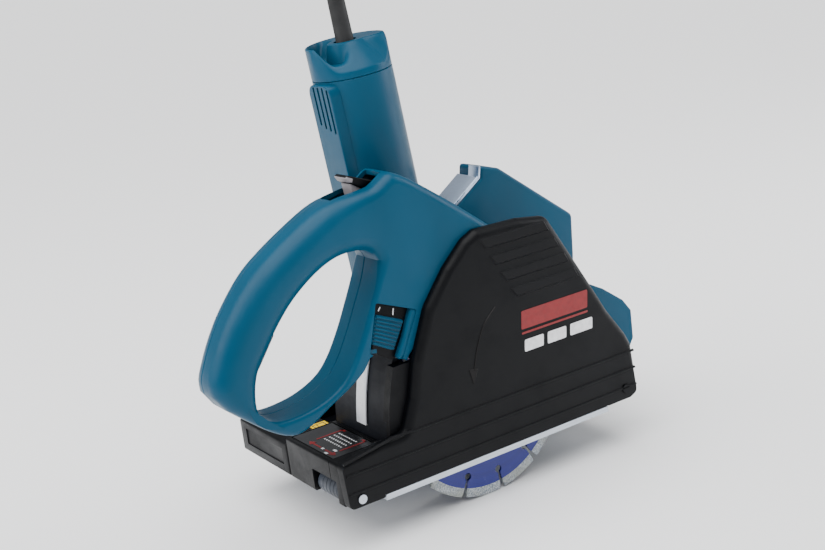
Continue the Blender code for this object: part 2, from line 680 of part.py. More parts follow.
def spindle():
    centre = (DISC_AXIS[0], 0, DISC_AXIS[1])
    profile = [(6.0, 109), (6.0, 92), (8.0, 91.5), (8.0, 50), (SPINDLE_R, 49.5), (SPINDLE_R, 9.3)]
    profile += [(0, 9.3), (0, 109)]
    node("spindle", "spindle", turned(profile, centre, (0, 1, 0), 24), "steel")
    crown = turned(ring(8.0 + GAP, 23.5, 80, 88.8), centre, (0, 1, 0), 37)
    crown = node("crown_gear", "spindle", crown, "steel")
    first = radians(90) + MOTOR_TILT
    for i in range(CROWN_TEETH):
        a = first + 2 * pi * (i + 0.5) / CROWN_TEETH
        tooth = box((17.2, 88, -0.55), (23.2, 91.1, 0.55))
        tooth.transform(Matrix.Rotation(-a, 4, "Y"))
        tooth.transform(Matrix.Translation((centre[0] * MM, 0, centre[2] * MM)))
        join(crown, tooth)
    flange = turned(ring(SPINDLE_R + GAP, 22, 43.6, 49.2), centre, (0, 1, 0), 28)
    node("inner_flange", "spindle", flange, "steel")
    disc("cutting_disc_near", 13.2, 0.0)
    disc("cutting_disc_far", 40.9, 0.0)
    spacer = turned(ring(SPINDLE_R + GAP, 18, 15.9, 40.6), centre, (0, 1, 0), 28)
    node("spacer_ring", "spindle", spacer, "steel")
    nut = turned(ring(SPINDLE_R + GAP, 20, 8.9, 12.9), centre, (0, 1, 0), 28)
    nut = node("clamping_nut", "spindle", nut, "steel")
    for i in range(2):
        a = pi * i
        cut(nut, across(centre[0] + 15.5 * cos(a), centre[2] + 15.5 * sin(a), 8, 10.5, 2.2, 10))


# ---- Controls ----


def controls():
    node("switch_body", "machine", grip_plate(2, 34, -25, -13, 23, 41), "grey")
    places = ((-1, -4), (33, -4), (33, 1), (27, 3.5), (3, 3.5), (-1, 2))
    trigger = [grip_point(*place) for place in places]
    node("trigger", "trigger", plate([trigger], 22.8, 41.2), "black")
    lever = [(71, 218), (48, 227), (45.7, 226), (49, 220.5), (54.5, 203), (59, 204.5), (60, 214)]
    lever += [(67, 205), (72.5, 207.5)]
    node("release_lever", "release_lever", plate([lever], 24, 40), "grey")
    slider = [(47, 130), (69, 120), (57.5, 100.5), (40.5, 110)]
    plate_mesh = plate([slider], 10.5, 12.6)
    knob = node("depth_slider", "depth_slider", plate_mesh, "teal")
    for i in range(7):
        t = (i + 0.5) / 7
        left = Vector(slider[0]).lerp(Vector(slider[3]), t)
        right = Vector(slider[1]).lerp(Vector(slider[2]), t)
        up = (Vector(slider[0]) - Vector(slider[3])).normalized() * 0.9
        loop = [left + up, right + up, right - up, left - up]
        join(knob, plate([[tuple(p.lerp((left + right) / 2, 0.04)) for p in loop]], 9.2, 11))
    guide = [(50, 140), (82, 126.5), (66, 95.5), (61, 92.5)]
    guide += [(47, 100.5), (46, 109), (39.5, 110), (41, 117)]
    node("slider_guide", "machine", plate([guide], 12.9, 14.6), "black")
    place = (DISC_AXIS[0] - 10, DISC_AXIS[1] - 12)
    button = node("spindle_lock_button", "spindle_lock", across(*place, 119.8, 125, 6.5, 20), "black")
    join(button, across(*place, 96, 121, 3.0, 14))


# ---- Cord ----

COIL = (240.0, 252.0)
COIL_MIDDLE = 53.0
PLUG_START, PLUG_END = Vector((226, 218, 17)), Vector((276, 218, 26))
CORD_ROUTE = [
    motor_point(319.0),
    motor_point(335.0),
    motor_point(352.0),
    (106, 112, 411),
    (121, 136, 425),
    (136, 160, 415),
    (147, 176, 385),
    (151, 183, 340),
    (155, 187, 270),
    (160, 190, 190),
    (163, 191, 110),
    (166, 191, 45),
    (170, 190, 0),
    (179, 188, -23),
    (197, 184, -30.2),
    (217, 182, FLOOR_Z + CORD_R + 0.1),
    (237, 181.3, FLOOR_Z + CORD_R + 0.1),
]


def cord():
    path = [tuple(p) for p in smooth(CORD_ROUTE, 24.0)]
    node("mains_cord", "machine", tube(path, CORD_R, 2), "rubber")
    outer, inner = COIL_MIDDLE + 13, COIL_MIDDLE - 13
    low, high = FLOOR_Z + 0.3, FLOOR_Z + 42.4
    profile = [(outer - 4, high), (outer, high - 5), (outer, low + 5), (outer - 4, low)]
    profile += [(inner + 4, low), (inner, low + 5), (inner, high - 5), (inner + 4, high)]
    node("cord_coil", "base", turned(profile, (*COIL, 0), (0, 0, 1), 24), "rubber")
    along = (PLUG_END - PLUG_START).normalized()
    plug = node("plug_body", "base", rod(PLUG_START, PLUG_END, 9, 20, 18), "rubber")
    join(plug, rod(PLUG_END - along, PLUG_END + along * 5, 18.3, 20))
    for name, y in (("left", -9.5), ("right", 9.5)):
        start = PLUG_END + along * (5 + GAP) + Vector((0, y, 0))
        node("plug_pin_" + name, "base", rod(start, start + along * 19, 2.4, 12), "steel")


def build():
    clear_scene()
    body("base", (0, 0, 0))
    body("machine", (PIVOT[0], SEAM, PIVOT[1]), "base")
    body("spindle", (DISC_AXIS[0], 14, DISC_AXIS[1]), "machine")
    body("armature", motor_point(21), "machine")
    x, z = grip_point(31, -1)
    body("trigger", (x, SEAM, z), "machine")
    body("release_lever", (70, SEAM, 209), "machine")
    body("depth_slider", (54, 10, 115), "machine")
    body("spindle_lock", (DISC_AXIS[0] - 10, 120, DISC_AXIS[1] - 12), "machine")
    for name, (x, low, high) in ROLLERS.items():
        body("roller_" + name, (x, (low + high) / 2, ROLLER_Z), "base")
    base_and_cover()
    guard()
    rollers_and_pins()
    machine_shells()
    hinge_block()
    hood()
    drive_casing()
    motor()
    armature()
    spindle()
    controls()
    cord()


build()
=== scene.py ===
"""The looks of the wall chaser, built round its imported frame.

Shapes are worked out in millimetres in the base's own coordinates, as in the frame: X runs along the
base from its rear end, Y across it from the side cover's outer face, and Z up. Pieces are turned into
metres in the frame's place as they are finished.
"""

from math import atan, ceil, cos, pi, radians, sin

import bmesh
import bpy
from mathutils import Matrix, Vector

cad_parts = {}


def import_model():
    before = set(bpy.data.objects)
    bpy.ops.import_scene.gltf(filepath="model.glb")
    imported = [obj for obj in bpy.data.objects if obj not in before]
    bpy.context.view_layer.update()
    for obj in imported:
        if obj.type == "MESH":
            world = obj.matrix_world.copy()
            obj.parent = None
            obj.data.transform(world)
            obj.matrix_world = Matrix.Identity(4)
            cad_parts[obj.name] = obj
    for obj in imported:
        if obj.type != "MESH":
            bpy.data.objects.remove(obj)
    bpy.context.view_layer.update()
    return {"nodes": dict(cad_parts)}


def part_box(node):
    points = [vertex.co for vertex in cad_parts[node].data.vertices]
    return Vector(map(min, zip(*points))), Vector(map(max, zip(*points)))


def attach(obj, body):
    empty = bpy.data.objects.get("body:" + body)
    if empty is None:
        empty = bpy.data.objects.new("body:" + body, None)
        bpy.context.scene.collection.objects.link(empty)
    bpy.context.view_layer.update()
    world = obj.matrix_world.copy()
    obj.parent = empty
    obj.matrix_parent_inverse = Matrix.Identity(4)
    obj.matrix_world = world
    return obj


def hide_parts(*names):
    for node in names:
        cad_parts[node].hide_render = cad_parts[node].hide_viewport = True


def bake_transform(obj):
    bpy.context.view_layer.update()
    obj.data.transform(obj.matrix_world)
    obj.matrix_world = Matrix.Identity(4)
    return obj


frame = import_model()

MM = 0.001
# The base frame's lowest corner is at (0, 8.3, 0.8) mm in base coordinates.
BASE_CORNER = Vector((0.0, 8.3, 0.8))
FRAME_PLACE = Matrix.Translation(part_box("base_frame")[0] - BASE_CORNER * MM) @ Matrix.Scale(MM, 4)

DISC_AXIS = (129.0, 40.0)
DISC_RADIUS = 75.0
DISC_THICK = 2.4
MOTOR_Y = 97.0
MOTOR_TILT = atan(0.0956)
SHELL_NEAR, SHELL_FAR, SEAM = 8.4, 56.0, 32.0
HANDLE_DROP = 8.0
WALL = 3.0
CORD_R = 4.15
FLOOR_Z = DISC_AXIS[1] - DISC_RADIUS


def world(x, y, z):
    return FRAME_PLACE @ Vector((x, y, z))


# ---- Node materials ----


class Nodes:
    """A material's node tree, with short calls for the nodes used here."""

    def __init__(self, name):
        self.material = bpy.data.materials.new(name)
        self.material.use_nodes = True
        self.tree = self.material.node_tree
        self.shader = self.tree.nodes["Principled BSDF"]
        self.place = self.tree.nodes.new("ShaderNodeTexCoord").outputs["Object"]

    def add(self, kind, **inputs):
        made = self.tree.nodes.new("ShaderNode" + kind)
        for name, value in inputs.items():
            self.feed(made.inputs[name.replace("_", " ")], value)
        return made

    def feed(self, socket, value):
        if isinstance(value, bpy.types.NodeSocket):
            self.tree.links.new(value, socket)
        else:
            socket.default_value = value

    def noise(self, scale, detail=2.0, roughness=0.5, stretch=None):
        place = self.place
        if stretch:
            mapping = self.add("Mapping", Vector=place, Scale=stretch)
            place = mapping.outputs[0]
        made = self.add("TexNoise", Vector=place, Scale=scale, Detail=detail, Roughness=roughness)
        return made.outputs["Fac"]

    def ramp(self, value, low, high, out_low=0.0, out_high=1.0):
        """A smooth map of value from low..high to out_low..out_high."""
        made = self.add("MapRange", Value=value)
        ends = {"From Min": low, "From Max": high, "To Min": out_low, "To Max": out_high}
        for name, number in ends.items():
            made.inputs[name].default_value = number
        made.interpolation_type = "SMOOTHSTEP"
        return made.outputs["Result"]

    def mix(self, share, first, second):
        made = self.tree.nodes.new("ShaderNodeMix")
        made.data_type = "RGBA"
        self.feed(made.inputs[0], share)
        self.feed(made.inputs[6], first)
        self.feed(made.inputs[7], second)
        return made.outputs[2]

    def maths(self, operation, first, second=0.5):
        made = self.tree.nodes.new("ShaderNodeMath")
        made.operation = operation
        self.feed(made.inputs[0], first)
        self.feed(made.inputs[1], second)
        return made.outputs[0]

    def edges(self, low=0.52, high=0.6):
        """How much a point lies on a worn outer edge."""
        geometry = self.tree.nodes.new("ShaderNodeNewGeometry")
        return self.ramp(geometry.outputs["Pointiness"], low, high)

    def bump(self, height, strength, distance):
        made = self.add("Bump", Height=height, Strength=strength, Distance=distance)
        self.feed(self.shader.inputs["Normal"], made.outputs[0])

    def set(self, **inputs):
        for name, value in inputs.items():
            self.feed(self.shader.inputs[name.replace("_", " ")], value)


def rgb(red, green, blue):
    """A linear colour from 0..255 display values."""
    channels = [c / 255 for c in (red, green, blue)]
    return (*(c / 12.92 if c <= 0.04045 else ((c + 0.055) / 1.055) ** 2.4 for c in channels), 1.0)


def scaled(colour, factor):
    return (*(min(1.0, c * factor) for c in colour[:3]), 1.0)


def plastic(name, colour, roughness, grain, grain_depth, wear=0.25, coat=0.0):
    """Moulded plastic: fine spark-eroded grain, faint flow shading, rubbed edges and handling smears."""
    n = Nodes(name)
    flow = n.noise(14, 3.0, stretch=(1.0, 1.0, 0.45))
    base = n.mix(n.ramp(flow, 0.3, 0.7), scaled(colour, 0.9), scaled(colour, 1.1))
    rub = n.maths("MULTIPLY", n.edges(), n.ramp(n.noise(160, 4.0), 0.35, 0.75, 0.0, wear))
    base = n.mix(rub, base, scaled(colour, 1.8))
    speck = n.ramp(n.noise(900, 2.0), 0.68, 0.8, 0.0, 0.12)
    base = n.mix(speck, base, scaled(colour, 1.8))
    smear = n.ramp(n.noise(38, 5.0, 0.65), 0.4, 0.72, roughness - 0.06, roughness + 0.09)
    n.set(Base_Color=base, Roughness=smear, Specular_IOR_Level=0.16, Coat_Weight=coat, Coat_Roughness=0.35)
    n.bump(n.noise(grain, 3.0, 0.6), 0.5, grain_depth)
    return n.material


def mottled(name, colours, patches, sheen, grain, stain=None):
    """Two colours in patches, a stain, an uneven sheen and a grain: each is a noise's scale, then numbers."""
    n = Nodes(name)
    scale, low, high = patches
    base = n.mix(n.ramp(n.noise(scale, 4.0), low, high), *colours)
    if stain:
        scale, stretch, low, high, share, colour = stain
        base = n.mix(n.ramp(n.noise(scale, 3.0, stretch=stretch), low, high, 0.0, share), base, colour)
    scale, smoothest, roughest = sheen
    n.set(Base_Color=base, Roughness=n.ramp(n.noise(scale, 3.0), 0.3, 0.7, smoothest, roughest))
    scale, strength, depth = grain
    n.bump(n.noise(scale, 2.0), strength, depth)
    return n.material


def rubbery(name, colour, roughness=0.62):
    """Rubber with a little pale dust."""
    colours = scaled(colour, 0.8), scaled(colour, 1.35)
    sheen = (90, roughness - 0.08, roughness + 0.1)
    dust = (240, None, 0.6, 0.78, 0.18, (0.10, 0.10, 0.095, 1.0))
    return mottled(name, colours, (60, 0.35, 0.7), sheen, (1600, 0.35, 0.0001), dust)


def metal(name, colour, roughness, brush=(1.0, 1.0, 30.0), strength=0.25, tarnish=0.2):
    """Worked metal: fine brushing along one direction, uneven sheen and a little staining."""
    n = Nodes(name)
    lines = n.noise(700, 3.0, stretch=brush)
    stain = n.ramp(n.noise(45, 5.0, 0.65), 0.5, 0.75, 0.0, tarnish)
    base = n.mix(n.ramp(lines, 0.3, 0.7), scaled(colour, 0.86), scaled(colour, 1.08))
    base = n.mix(stain, base, scaled(colour, 0.5))
    n.set(Base_Color=base, Metallic=1.0)
    n.set(Roughness=n.ramp(lines, 0.25, 0.75, roughness - 0.06, roughness + 0.12))
    n.bump(lines, strength, 0.00008)
    return n.material


def cast_metal(name, colour, roughness=0.55):
    n = Nodes(name)
    pits = n.noise(420, 4.0, 0.7)
    base = n.mix(n.ramp(n.noise(40, 4.0), 0.35, 0.7), scaled(colour, 0.8), scaled(colour, 1.15))
    n.set(Base_Color=base, Metallic=0.85, Roughness=n.ramp(pits, 0.3, 0.7, roughness - 0.1, roughness + 0.15))
    n.bump(pits, 0.5, 0.0003)
    return n.material


def radial_distance(n, centre):
    """Distance from an axis along Y through centre, from object coordinates."""
    axis = world(centre[0], 0, centre[1])
    split = n.add("SeparateXYZ", Vector=n.place)
    across = n.maths("SUBTRACT", split.outputs[0], axis.x)
    up = n.maths("SUBTRACT", split.outputs[2], axis.z)
    square = n.maths("ADD", n.maths("MULTIPLY", across, across), n.maths("MULTIPLY", up, up))
    return n.maths("SQRT", square, 0.0)


def blade_paint(name):
    """Blue-violet lacquer with faint concentric grinding lines and scuffs."""
    n = Nodes(name)
    distance = radial_distance(n, DISC_AXIS)
    rings = n.add("TexNoise", Vector=distance, Scale=900.0, Detail=2.0).outputs["Fac"]
    colour = rgb(6, 18, 112)
    base = n.mix(n.ramp(rings, 0.35, 0.65), scaled(colour, 0.85), scaled(colour, 1.2))
    scuff = n.ramp(n.noise(120, 5.0, 0.7), 0.62, 0.74, 0.0, 0.25)
    base = n.mix(scuff, base, rgb(96, 100, 165))
    n.set(Base_Color=base, Metallic=0.25, Roughness=n.ramp(rings, 0.3, 0.7, 0.28, 0.42), Coat_Weight=0.3)
    n.bump(rings, 0.2, 0.00005)
    return n.material


def grit(name):
    """Sintered cutting rim: grey metal full of pale and dark grains."""
    n = Nodes(name)
    grains = n.add("TexVoronoi", Vector=n.place, Scale=1500.0)
    share = n.ramp(grains.outputs["Color"], 0.2, 0.9)
    base = n.mix(share, rgb(118, 128, 140), rgb(206, 210, 212))
    base = n.mix(n.ramp(n.noise(70, 4.0), 0.4, 0.7, 0.0, 0.6), base, rgb(150, 152, 140))
    n.set(Base_Color=base, Metallic=0.35, Roughness=0.6)
    n.bump(grains.outputs["Distance"], 0.6, 0.0003)
    return n.material


def print_ink(name, colour, roughness=0.4):
    """Screen-printed ink, slightly uneven."""
    sheen = (200, roughness - 0.05, roughness + 0.1)
    return mottled(name, (colour, scaled(colour, 0.82)), (300, 0.35, 0.75), sheen, (1800, 0.2, 0.00005))


def label_film(name):
    colours = rgb(14, 15, 18), rgb(24, 25, 29)
    return mottled(name, colours, (80, 0.4, 0.7), (30, 0.25, 0.4), (500, 0.1, 0.00005))


def enamel(name):
    """White enamel on the depth scale, a little uneven in tone and scratched."""
    colours = rgb(232, 233, 236), rgb(206, 210, 216)
    scratches = (300, (1, 12, 1), 0.66, 0.75, 0.3, rgb(150, 152, 156))
    return mottled(name, colours, (50, 0.4, 0.7), (90, 0.25, 0.42), (600, 0.15, 0.00006), scratches)


TEAL = rgb(0, 66, 92)
MATERIALS = {
    "teal": plastic("teal_moulding", TEAL, 0.40, 2600, 0.00012, coat=0.08),
    "black": plastic("black_moulding", rgb(2, 3, 6), 0.45, 2100, 0.00018, wear=0.4),
    "rim": plastic("black_rim", rgb(12, 10, 11), 0.38, 2100, 0.00012, wear=0.4),
    "grey": plastic("grey_moulding", rgb(24, 26, 32), 0.50, 2100, 0.00015),
    "light_grey": plastic("light_grey_moulding", rgb(142, 138, 142), 0.45, 2100, 0.00012),
    "rubber": rubbery("black_rubber", rgb(15, 15, 17)),
    "tyre": rubbery("roller_rubber", rgb(44, 51, 62), 0.5),
    "steel": metal("bright_steel", rgb(190, 196, 205), 0.28),
    "alloy": metal("rolled_alloy", rgb(196, 203, 212), 0.34, brush=(0.05, 1.0, 1.0)),
    "strap": metal("strap_alloy", rgb(205, 222, 245), 0.30, brush=(0.3, 30.0, 0.3), tarnish=0.1),
    "cast": cast_metal("cast_alloy", rgb(128, 131, 136)),
    "iron": metal("laminated_iron", rgb(105, 104, 102), 0.45, brush=(1.0, 1.0, 60.0), strength=0.5),
    "copper": metal("copper_bars", rgb(198, 118, 74), 0.30, brush=(40.0, 40.0, 1.0)),
    "blade": blade_paint("blade_lacquer"),
    "grit": grit("segment_grit"),
    "label": label_film("label_film"),
    "scale": enamel("scale_enamel"),
    "red_ink": print_ink("red_print", rgb(128, 0, 8)),
    "white_ink": print_ink("white_print", rgb(238, 238, 240)),
    "black_ink": print_ink("black_print", rgb(6, 6, 8), 0.25),
    "yellow_ink": print_ink("yellow_print", rgb(250, 206, 0)),
}


# ---- Outlines in millimetres ----


def arc(centre, radius, start, end, count):
    """Points on a circle, from one angle in degrees to another."""
    angles = [radians(start + (end - start) * i / (count - 1)) for i in range(count)]
    return [(centre[0] + radius * cos(a), centre[1] + radius * sin(a)) for a in angles]


def smooth(controls, spacing):
    """Points along a Catmull-Rom curve through open controls, which may carry extra values."""
    controls = [Vector(c) for c in controls]
    ends = [2 * controls[0] - controls[1]] + controls + [2 * controls[-1] - controls[-2]]
    points = []
    for before, a, b, after in zip(ends, ends[1:], ends[2:], ends[3:]):
        count = max(1, ceil((b - a).length / spacing))
        for i in range(count):
            t = i / count
            pull = (b - before) * t + (2 * before - 5 * a + 4 * b - after) * t * t
            points.append(0.5 * (2 * a + pull + (3 * a - before - 3 * b + after) * t**3))
    return points + [controls[-1]]


def fillet(loop, radius, steps=6):
    """The closed loop with each corner rounded; a corner may carry its own radius as a third value."""
    points = []
    for i, corner in enumerate(loop):
        here = Vector(corner[:2])
        back = Vector(loop[i - 1][:2]) - here
        ahead = Vector(loop[(i + 1) % len(loop)][:2]) - here
        wanted = corner[2] if len(corner) > 2 else radius
        half = back.angle(ahead) / 2
        reach = min(wanted / max(sin(half) / cos(half), 1e-3), back.length * 0.48, ahead.length * 0.48)
        if wanted <= 0 or half > radians(88):
            points.append(tuple(here))
            continue
        a, b = here + back.normalized() * reach, here + ahead.normalized() * reach
        for step in range(steps + 1):
            t = step / steps
            points.append(tuple((1 - t) ** 2 * a + 2 * t * (1 - t) * here + t * t * b))
    return points


def turns_left(loop):
    return sum(a[0] * b[1] - b[0] * a[1] for a, b in zip(loop, list(loop[1:]) + [loop[0]])) > 0


def inset(loop, distances):
    """The loop moved towards its left-hand side, each point by its own distance."""
    moved = []
    for i, point in enumerate(loop):
        before, after = loop[i - 1], loop[(i + 1) % len(loop)]
        first = Vector((point[0] - before[0], point[1] - before[1])).normalized()
        second = Vector((after[0] - point[0], after[1] - point[1])).normalized()
        normal = Vector((-first.y - second.y, first.x + second.x))
        normal /= max(0.6, 1 + first.dot(second))
        moved.append((point[0] + normal.x * distances[i], point[1] + normal.y * distances[i]))
    return moved


# ---- Meshes in millimetres ----


def from_bmesh(bm):
    bmesh.ops.remove_doubles(bm, verts=bm.verts, dist=1e-4)
    bmesh.ops.recalc_face_normals(bm, faces=bm.faces)
    mesh = bpy.data.meshes.new("shape")
    bm.to_mesh(mesh)
    bm.free()
    return mesh


def bridge(bm, rings, looped=False):
    """Quads between neighbouring rings of equal length; looped joins the last ring to the first."""
    made = [[bm.verts.new(p) for p in ring] for ring in rings]
    for lower, upper in zip(made, made[1:] + (made[:1] if looped else [])):
        for i in range(len(lower)):
            bm.faces.new((lower[i - 1], lower[i], upper[i], upper[i - 1]))
    return made


def fill_ends(bm, bridges):
    """Flat faces across the first and the last rings; the bridges after the first are holes."""
    for side in (0, -1):
        rings = [made[side] for made in bridges]
        edges = [bm.edges.get((ring[i - 1], ring[i])) for ring in rings for i in range(len(ring))]
        bmesh.ops.triangle_fill(bm, use_beauty=True, edges=edges)


def skin(rings):
    """A closed skin over rings of equal length, with flat ends."""
    bm = bmesh.new()
    made = bridge(bm, rings)
    for ring in (made[0], made[-1]):
        bm.faces.new(ring)
    return from_bmesh(bm)


def slab(loops, y_low, y_high, low_radius=0.0, high_radius=0.0, steps=4):
    """Outlines of (x, z), the later ones holes, from y_low to y_high with rounded face edges."""
    bm = bmesh.new()
    bridges = []
    for index, loop in enumerate(loops):
        loop = [tuple(p[:2]) for p in loop]
        if turns_left(loop) != (index == 0):
            loop.reverse()
        levels = []
        for radius, face, into in ((low_radius, y_low, 1), (high_radius, y_high, -1)):
            count = steps if radius > 0 else 0
            turns = [pi / 2 * i / count for i in range(count + 1)] if count else [pi / 2]
            levels.append([(radius * (1 - sin(a)), face + into * radius * (1 - cos(a))) for a in turns])
        places = levels[0] + levels[1][::-1]
        rings = [[(x, y, z) for x, z in inset(loop, [inward] * len(loop))] for inward, y in places]
        bridges.append(bridge(bm, rings))
    fill_ends(bm, bridges)
    return from_bmesh(bm)


def turned(profile, start, direction, sides=64):
    """A profile of (radius, height) turned about a line; it closes on itself unless it meets the axis."""
    turn = Vector(direction).to_track_quat("Z", "Y").to_matrix()
    start = Vector(start)
    bm = bmesh.new()
    angles = [2 * pi * i / sides for i in range(sides)]
    rings = [
        [turn @ Vector((radius * cos(a), radius * sin(a), height)) + start for a in angles]
        for radius, height in profile
    ]
    bridge(bm, rings, looped=True)
    bmesh.ops.dissolve_degenerate(bm, dist=1e-5, edges=bm.edges)
    return from_bmesh(bm)


def rod(start, end, radius, end_radius=None, sides=48, edge=0.4):
    """A round bar with chamfered ends."""
    start, end = Vector(start), Vector(end)
    length = (end - start).length
    last = radius if end_radius is None else end_radius
    profile = [(0, 0), (radius - edge, 0), (radius, edge)]
    profile += [(last, length - edge), (last - edge, length), (0, length)]
    return turned(profile, start, end - start, sides)


def block(low, high, radius=0.0, segments=3):
    bm = bmesh.new()
    bmesh.ops.create_cube(bm, size=1)
    for vert in bm.verts:
        vert.co = Vector([(vert.co[i] + 0.5) * (high[i] - low[i]) + low[i] for i in range(3)])
    if radius > 0:
        bmesh.ops.bevel(
            bm, geom=bm.edges[:], offset=radius, segments=segments, profile=0.5, affect="EDGES"
        )
    return from_bmesh(bm)


def tube(points, radius, sides=16):
    """A round tube swept along points without twisting."""
    points = [Vector(p) for p in points]
    rings = []
    side = (points[1] - points[0]).orthogonal().normalized()
    for i, point in enumerate(points):
        ahead = (points[min(i + 1, len(points) - 1)] - points[max(i - 1, 0)]).normalized()
        side = (side - ahead * side.dot(ahead)).normalized()
        up = ahead.cross(side)
        angles = [2 * pi * k / sides for k in range(sides)]
        rings.append([point + (side * cos(a) + up * sin(a)) * radius for a in angles])
    return skin(rings)


def merged(*meshes):
    """Several meshes as one, left overlapping where they meet."""
    bm = bmesh.new()
    for mesh in meshes:
        bm.from_mesh(mesh)
    made = bpy.data.meshes.new("shape")
    bm.to_mesh(made)
    bm.free()
    return made


# ---- Pieces ----


def finish_edges(obj, bevel, smooth_angle, segments=3):
    if bevel:
        modifier = obj.modifiers.new("edges", "BEVEL")
        modifier.width = bevel * MM
        modifier.segments = segments
        modifier.limit_method = "ANGLE"
        modifier.angle_limit = radians(32)
    obj.data.shade_smooth()
    obj.data.set_sharp_from_angle(angle=radians(smooth_angle))


def helper(mesh):
    """A temporary object for a Boolean, removed again by applied()."""
    obj = bpy.data.objects.new("helper", mesh)
    bpy.context.scene.collection.objects.link(obj)
    return obj


def applied(mesh, *steps):
    """The mesh after Boolean steps of (operation, mesh)."""
    obj = helper(mesh)
    tools = []
    for operation, other in steps:
        tool = helper(other)
        tools.append(tool)
        modifier = obj.modifiers.new("step", "BOOLEAN")
        modifier.operation = operation
        modifier.solver = "EXACT"
        modifier.object = tool
    bpy.context.view_layer.update()
    graph = bpy.context.evaluated_depsgraph_get()
    made = bpy.data.meshes.new_from_object(obj.evaluated_get(graph))
    for each in [obj] + tools:
        bpy.data.objects.remove(each, do_unlink=True)
    return made


def cut(mesh, *tools):
    return applied(mesh, *(("DIFFERENCE", tool) for tool in tools))


def piece(name, body, mesh, finish, stands_for=(), bevel=0.0, angle=38, segments=3):
    mesh.transform(FRAME_PLACE)
    mesh.name = name
    mesh.materials.clear()
    mesh.materials.append(MATERIALS[finish])
    obj = bpy.data.objects.new(name, mesh)
    bpy.context.scene.collection.objects.link(obj)
    finish_edges(obj, bevel, angle, segments)
    if body:
        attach(obj, body)
    if stands_for:
        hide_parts(*stands_for)
    return obj


def keep(name, finish, bevel=0.0, angle=35):
    """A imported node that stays: it gets its finish and, where it helps, rounded edges."""
    obj = frame["nodes"][name]
    obj.data.materials.clear()
    obj.data.materials.append(MATERIALS[finish])
    finish_edges(obj, bevel, angle, 2)
    return obj


# ---- Motor axis ----


def motor_point(distance, side=0.0, y=0.0):
    """A point on the motor axis, distance up from the spindle, then across it and along Y."""
    return (
        DISC_AXIS[0] - distance * sin(MOTOR_TILT) + side * cos(MOTOR_TILT),
        MOTOR_Y + y,
        DISC_AXIS[1] + distance * cos(MOTOR_TILT) + side * sin(MOTOR_TILT),
    )


MOTOR_FRAME = Matrix.Translation(motor_point(0)) @ Matrix.Rotation(-MOTOR_TILT, 4, "Y")

# ---- Mains cord ----

COIL = (240.0, 252.0)
CORD_ROUTE = [
    motor_point(319.0),
    motor_point(335.0),
    motor_point(352.0),
    (106, 112, 411),
    (121, 136, 425),
    (136, 160, 415),
    (147, 176, 385),
    (151, 183, 340),
    (155, 187, 270),
    (160, 190, 190),
    (163, 191, 110),
    (166, 191, 45),
    (170, 190, 0),
    (179, 188, -23),
    (197, 184, -30.2),
    (217, 182, FLOOR_Z + CORD_R + 0.1),
    (237, 181.3, FLOOR_Z + CORD_R + 0.1),
]
TURN_GAP = 8.5
COIL_INNER, COIL_OUTER = 44.5, 61.5
COIL_TURNS = 9.75
TAIL, TAIL_LIFT, TAIL_R = 0.3, 4.6, 34.0
ARRIVE, RISE, ENTRY_R = 0.25, 0.22, 70.7
PLUG_START, PLUG_END = Vector((226, 218, 17)), Vector((276, 218, 26))


def coil_place(turn):
    """Radius and height of the cord's centre line after so many turns of the coil.

    Each layer spirals across the coil in two turns, then the cord climbs one layer while it stays at
    that layer's last radius.
    """
    bottom = FLOOR_Z + CORD_R + 0.1
    if turn < ARRIVE:
        t = turn / ARRIVE
        return ENTRY_R + (COIL_OUTER - ENTRY_R) * t * t * (3 - 2 * t), bottom
    per_layer = 2 + RISE
    layer, within = divmod(turn - ARRIVE, per_layer)
    ends = (COIL_OUTER, COIL_INNER) if layer % 2 == 0 else (COIL_INNER, COIL_OUTER)
    across = min(1.0, within / 2)
    climb = max(0.0, (within - 2) / RISE)
    layers = layer + climb * climb * (3 - 2 * climb)
    return ends[0] + (ends[1] - ends[0]) * across, bottom + TURN_GAP * layers


def tail_rise(turn):
    """The last stretch of the coil lifts gently towards the plug."""
    t = max(0.0, (turn - COIL_TURNS) / TAIL + 1)
    return TAIL_LIFT * t * t


# how steeply the tail leaves the coil, and how steeply the plug leans
TAIL_SLOPE, PLUG_SLOPE = 0.09, 0.18


def cord_path():
    """The lead from the motor to the coil, round it, and up into the plug."""
    points = smooth(CORD_ROUTE, 6.0)[:-1]
    steps = int(COIL_TURNS * 48)
    for i in range(steps + 1):
        turn = COIL_TURNS * i / steps
        radius, height = coil_place(turn)
        height += tail_rise(turn)
        a = -pi / 2 + 2 * pi * turn
        points.append(Vector((COIL[0] + radius * cos(a), COIL[1] + radius * sin(a), height)))
    last = points[-1]
    middle = Vector((last.x + TAIL_R, last.y, 0))
    length = TAIL_R * pi / 2
    slope, plug_slope = TAIL_SLOPE * length, PLUG_SLOPE * length
    rise = PLUG_START.z - last.z - PLUG_SLOPE * (PLUG_START.x - middle.x)
    for i in range(1, 13):
        t = i / 12
        a = pi + pi / 2 * t
        height = slope * t + (3 * rise - 2 * slope - plug_slope) * t**2
        height += (slope + plug_slope - 2 * rise) * t**3
        points.append(Vector((middle.x + TAIL_R * cos(a), middle.y + TAIL_R * sin(a), last.z + height)))
    return points + [PLUG_START + (PLUG_END - PLUG_START).normalized() * 1.0]


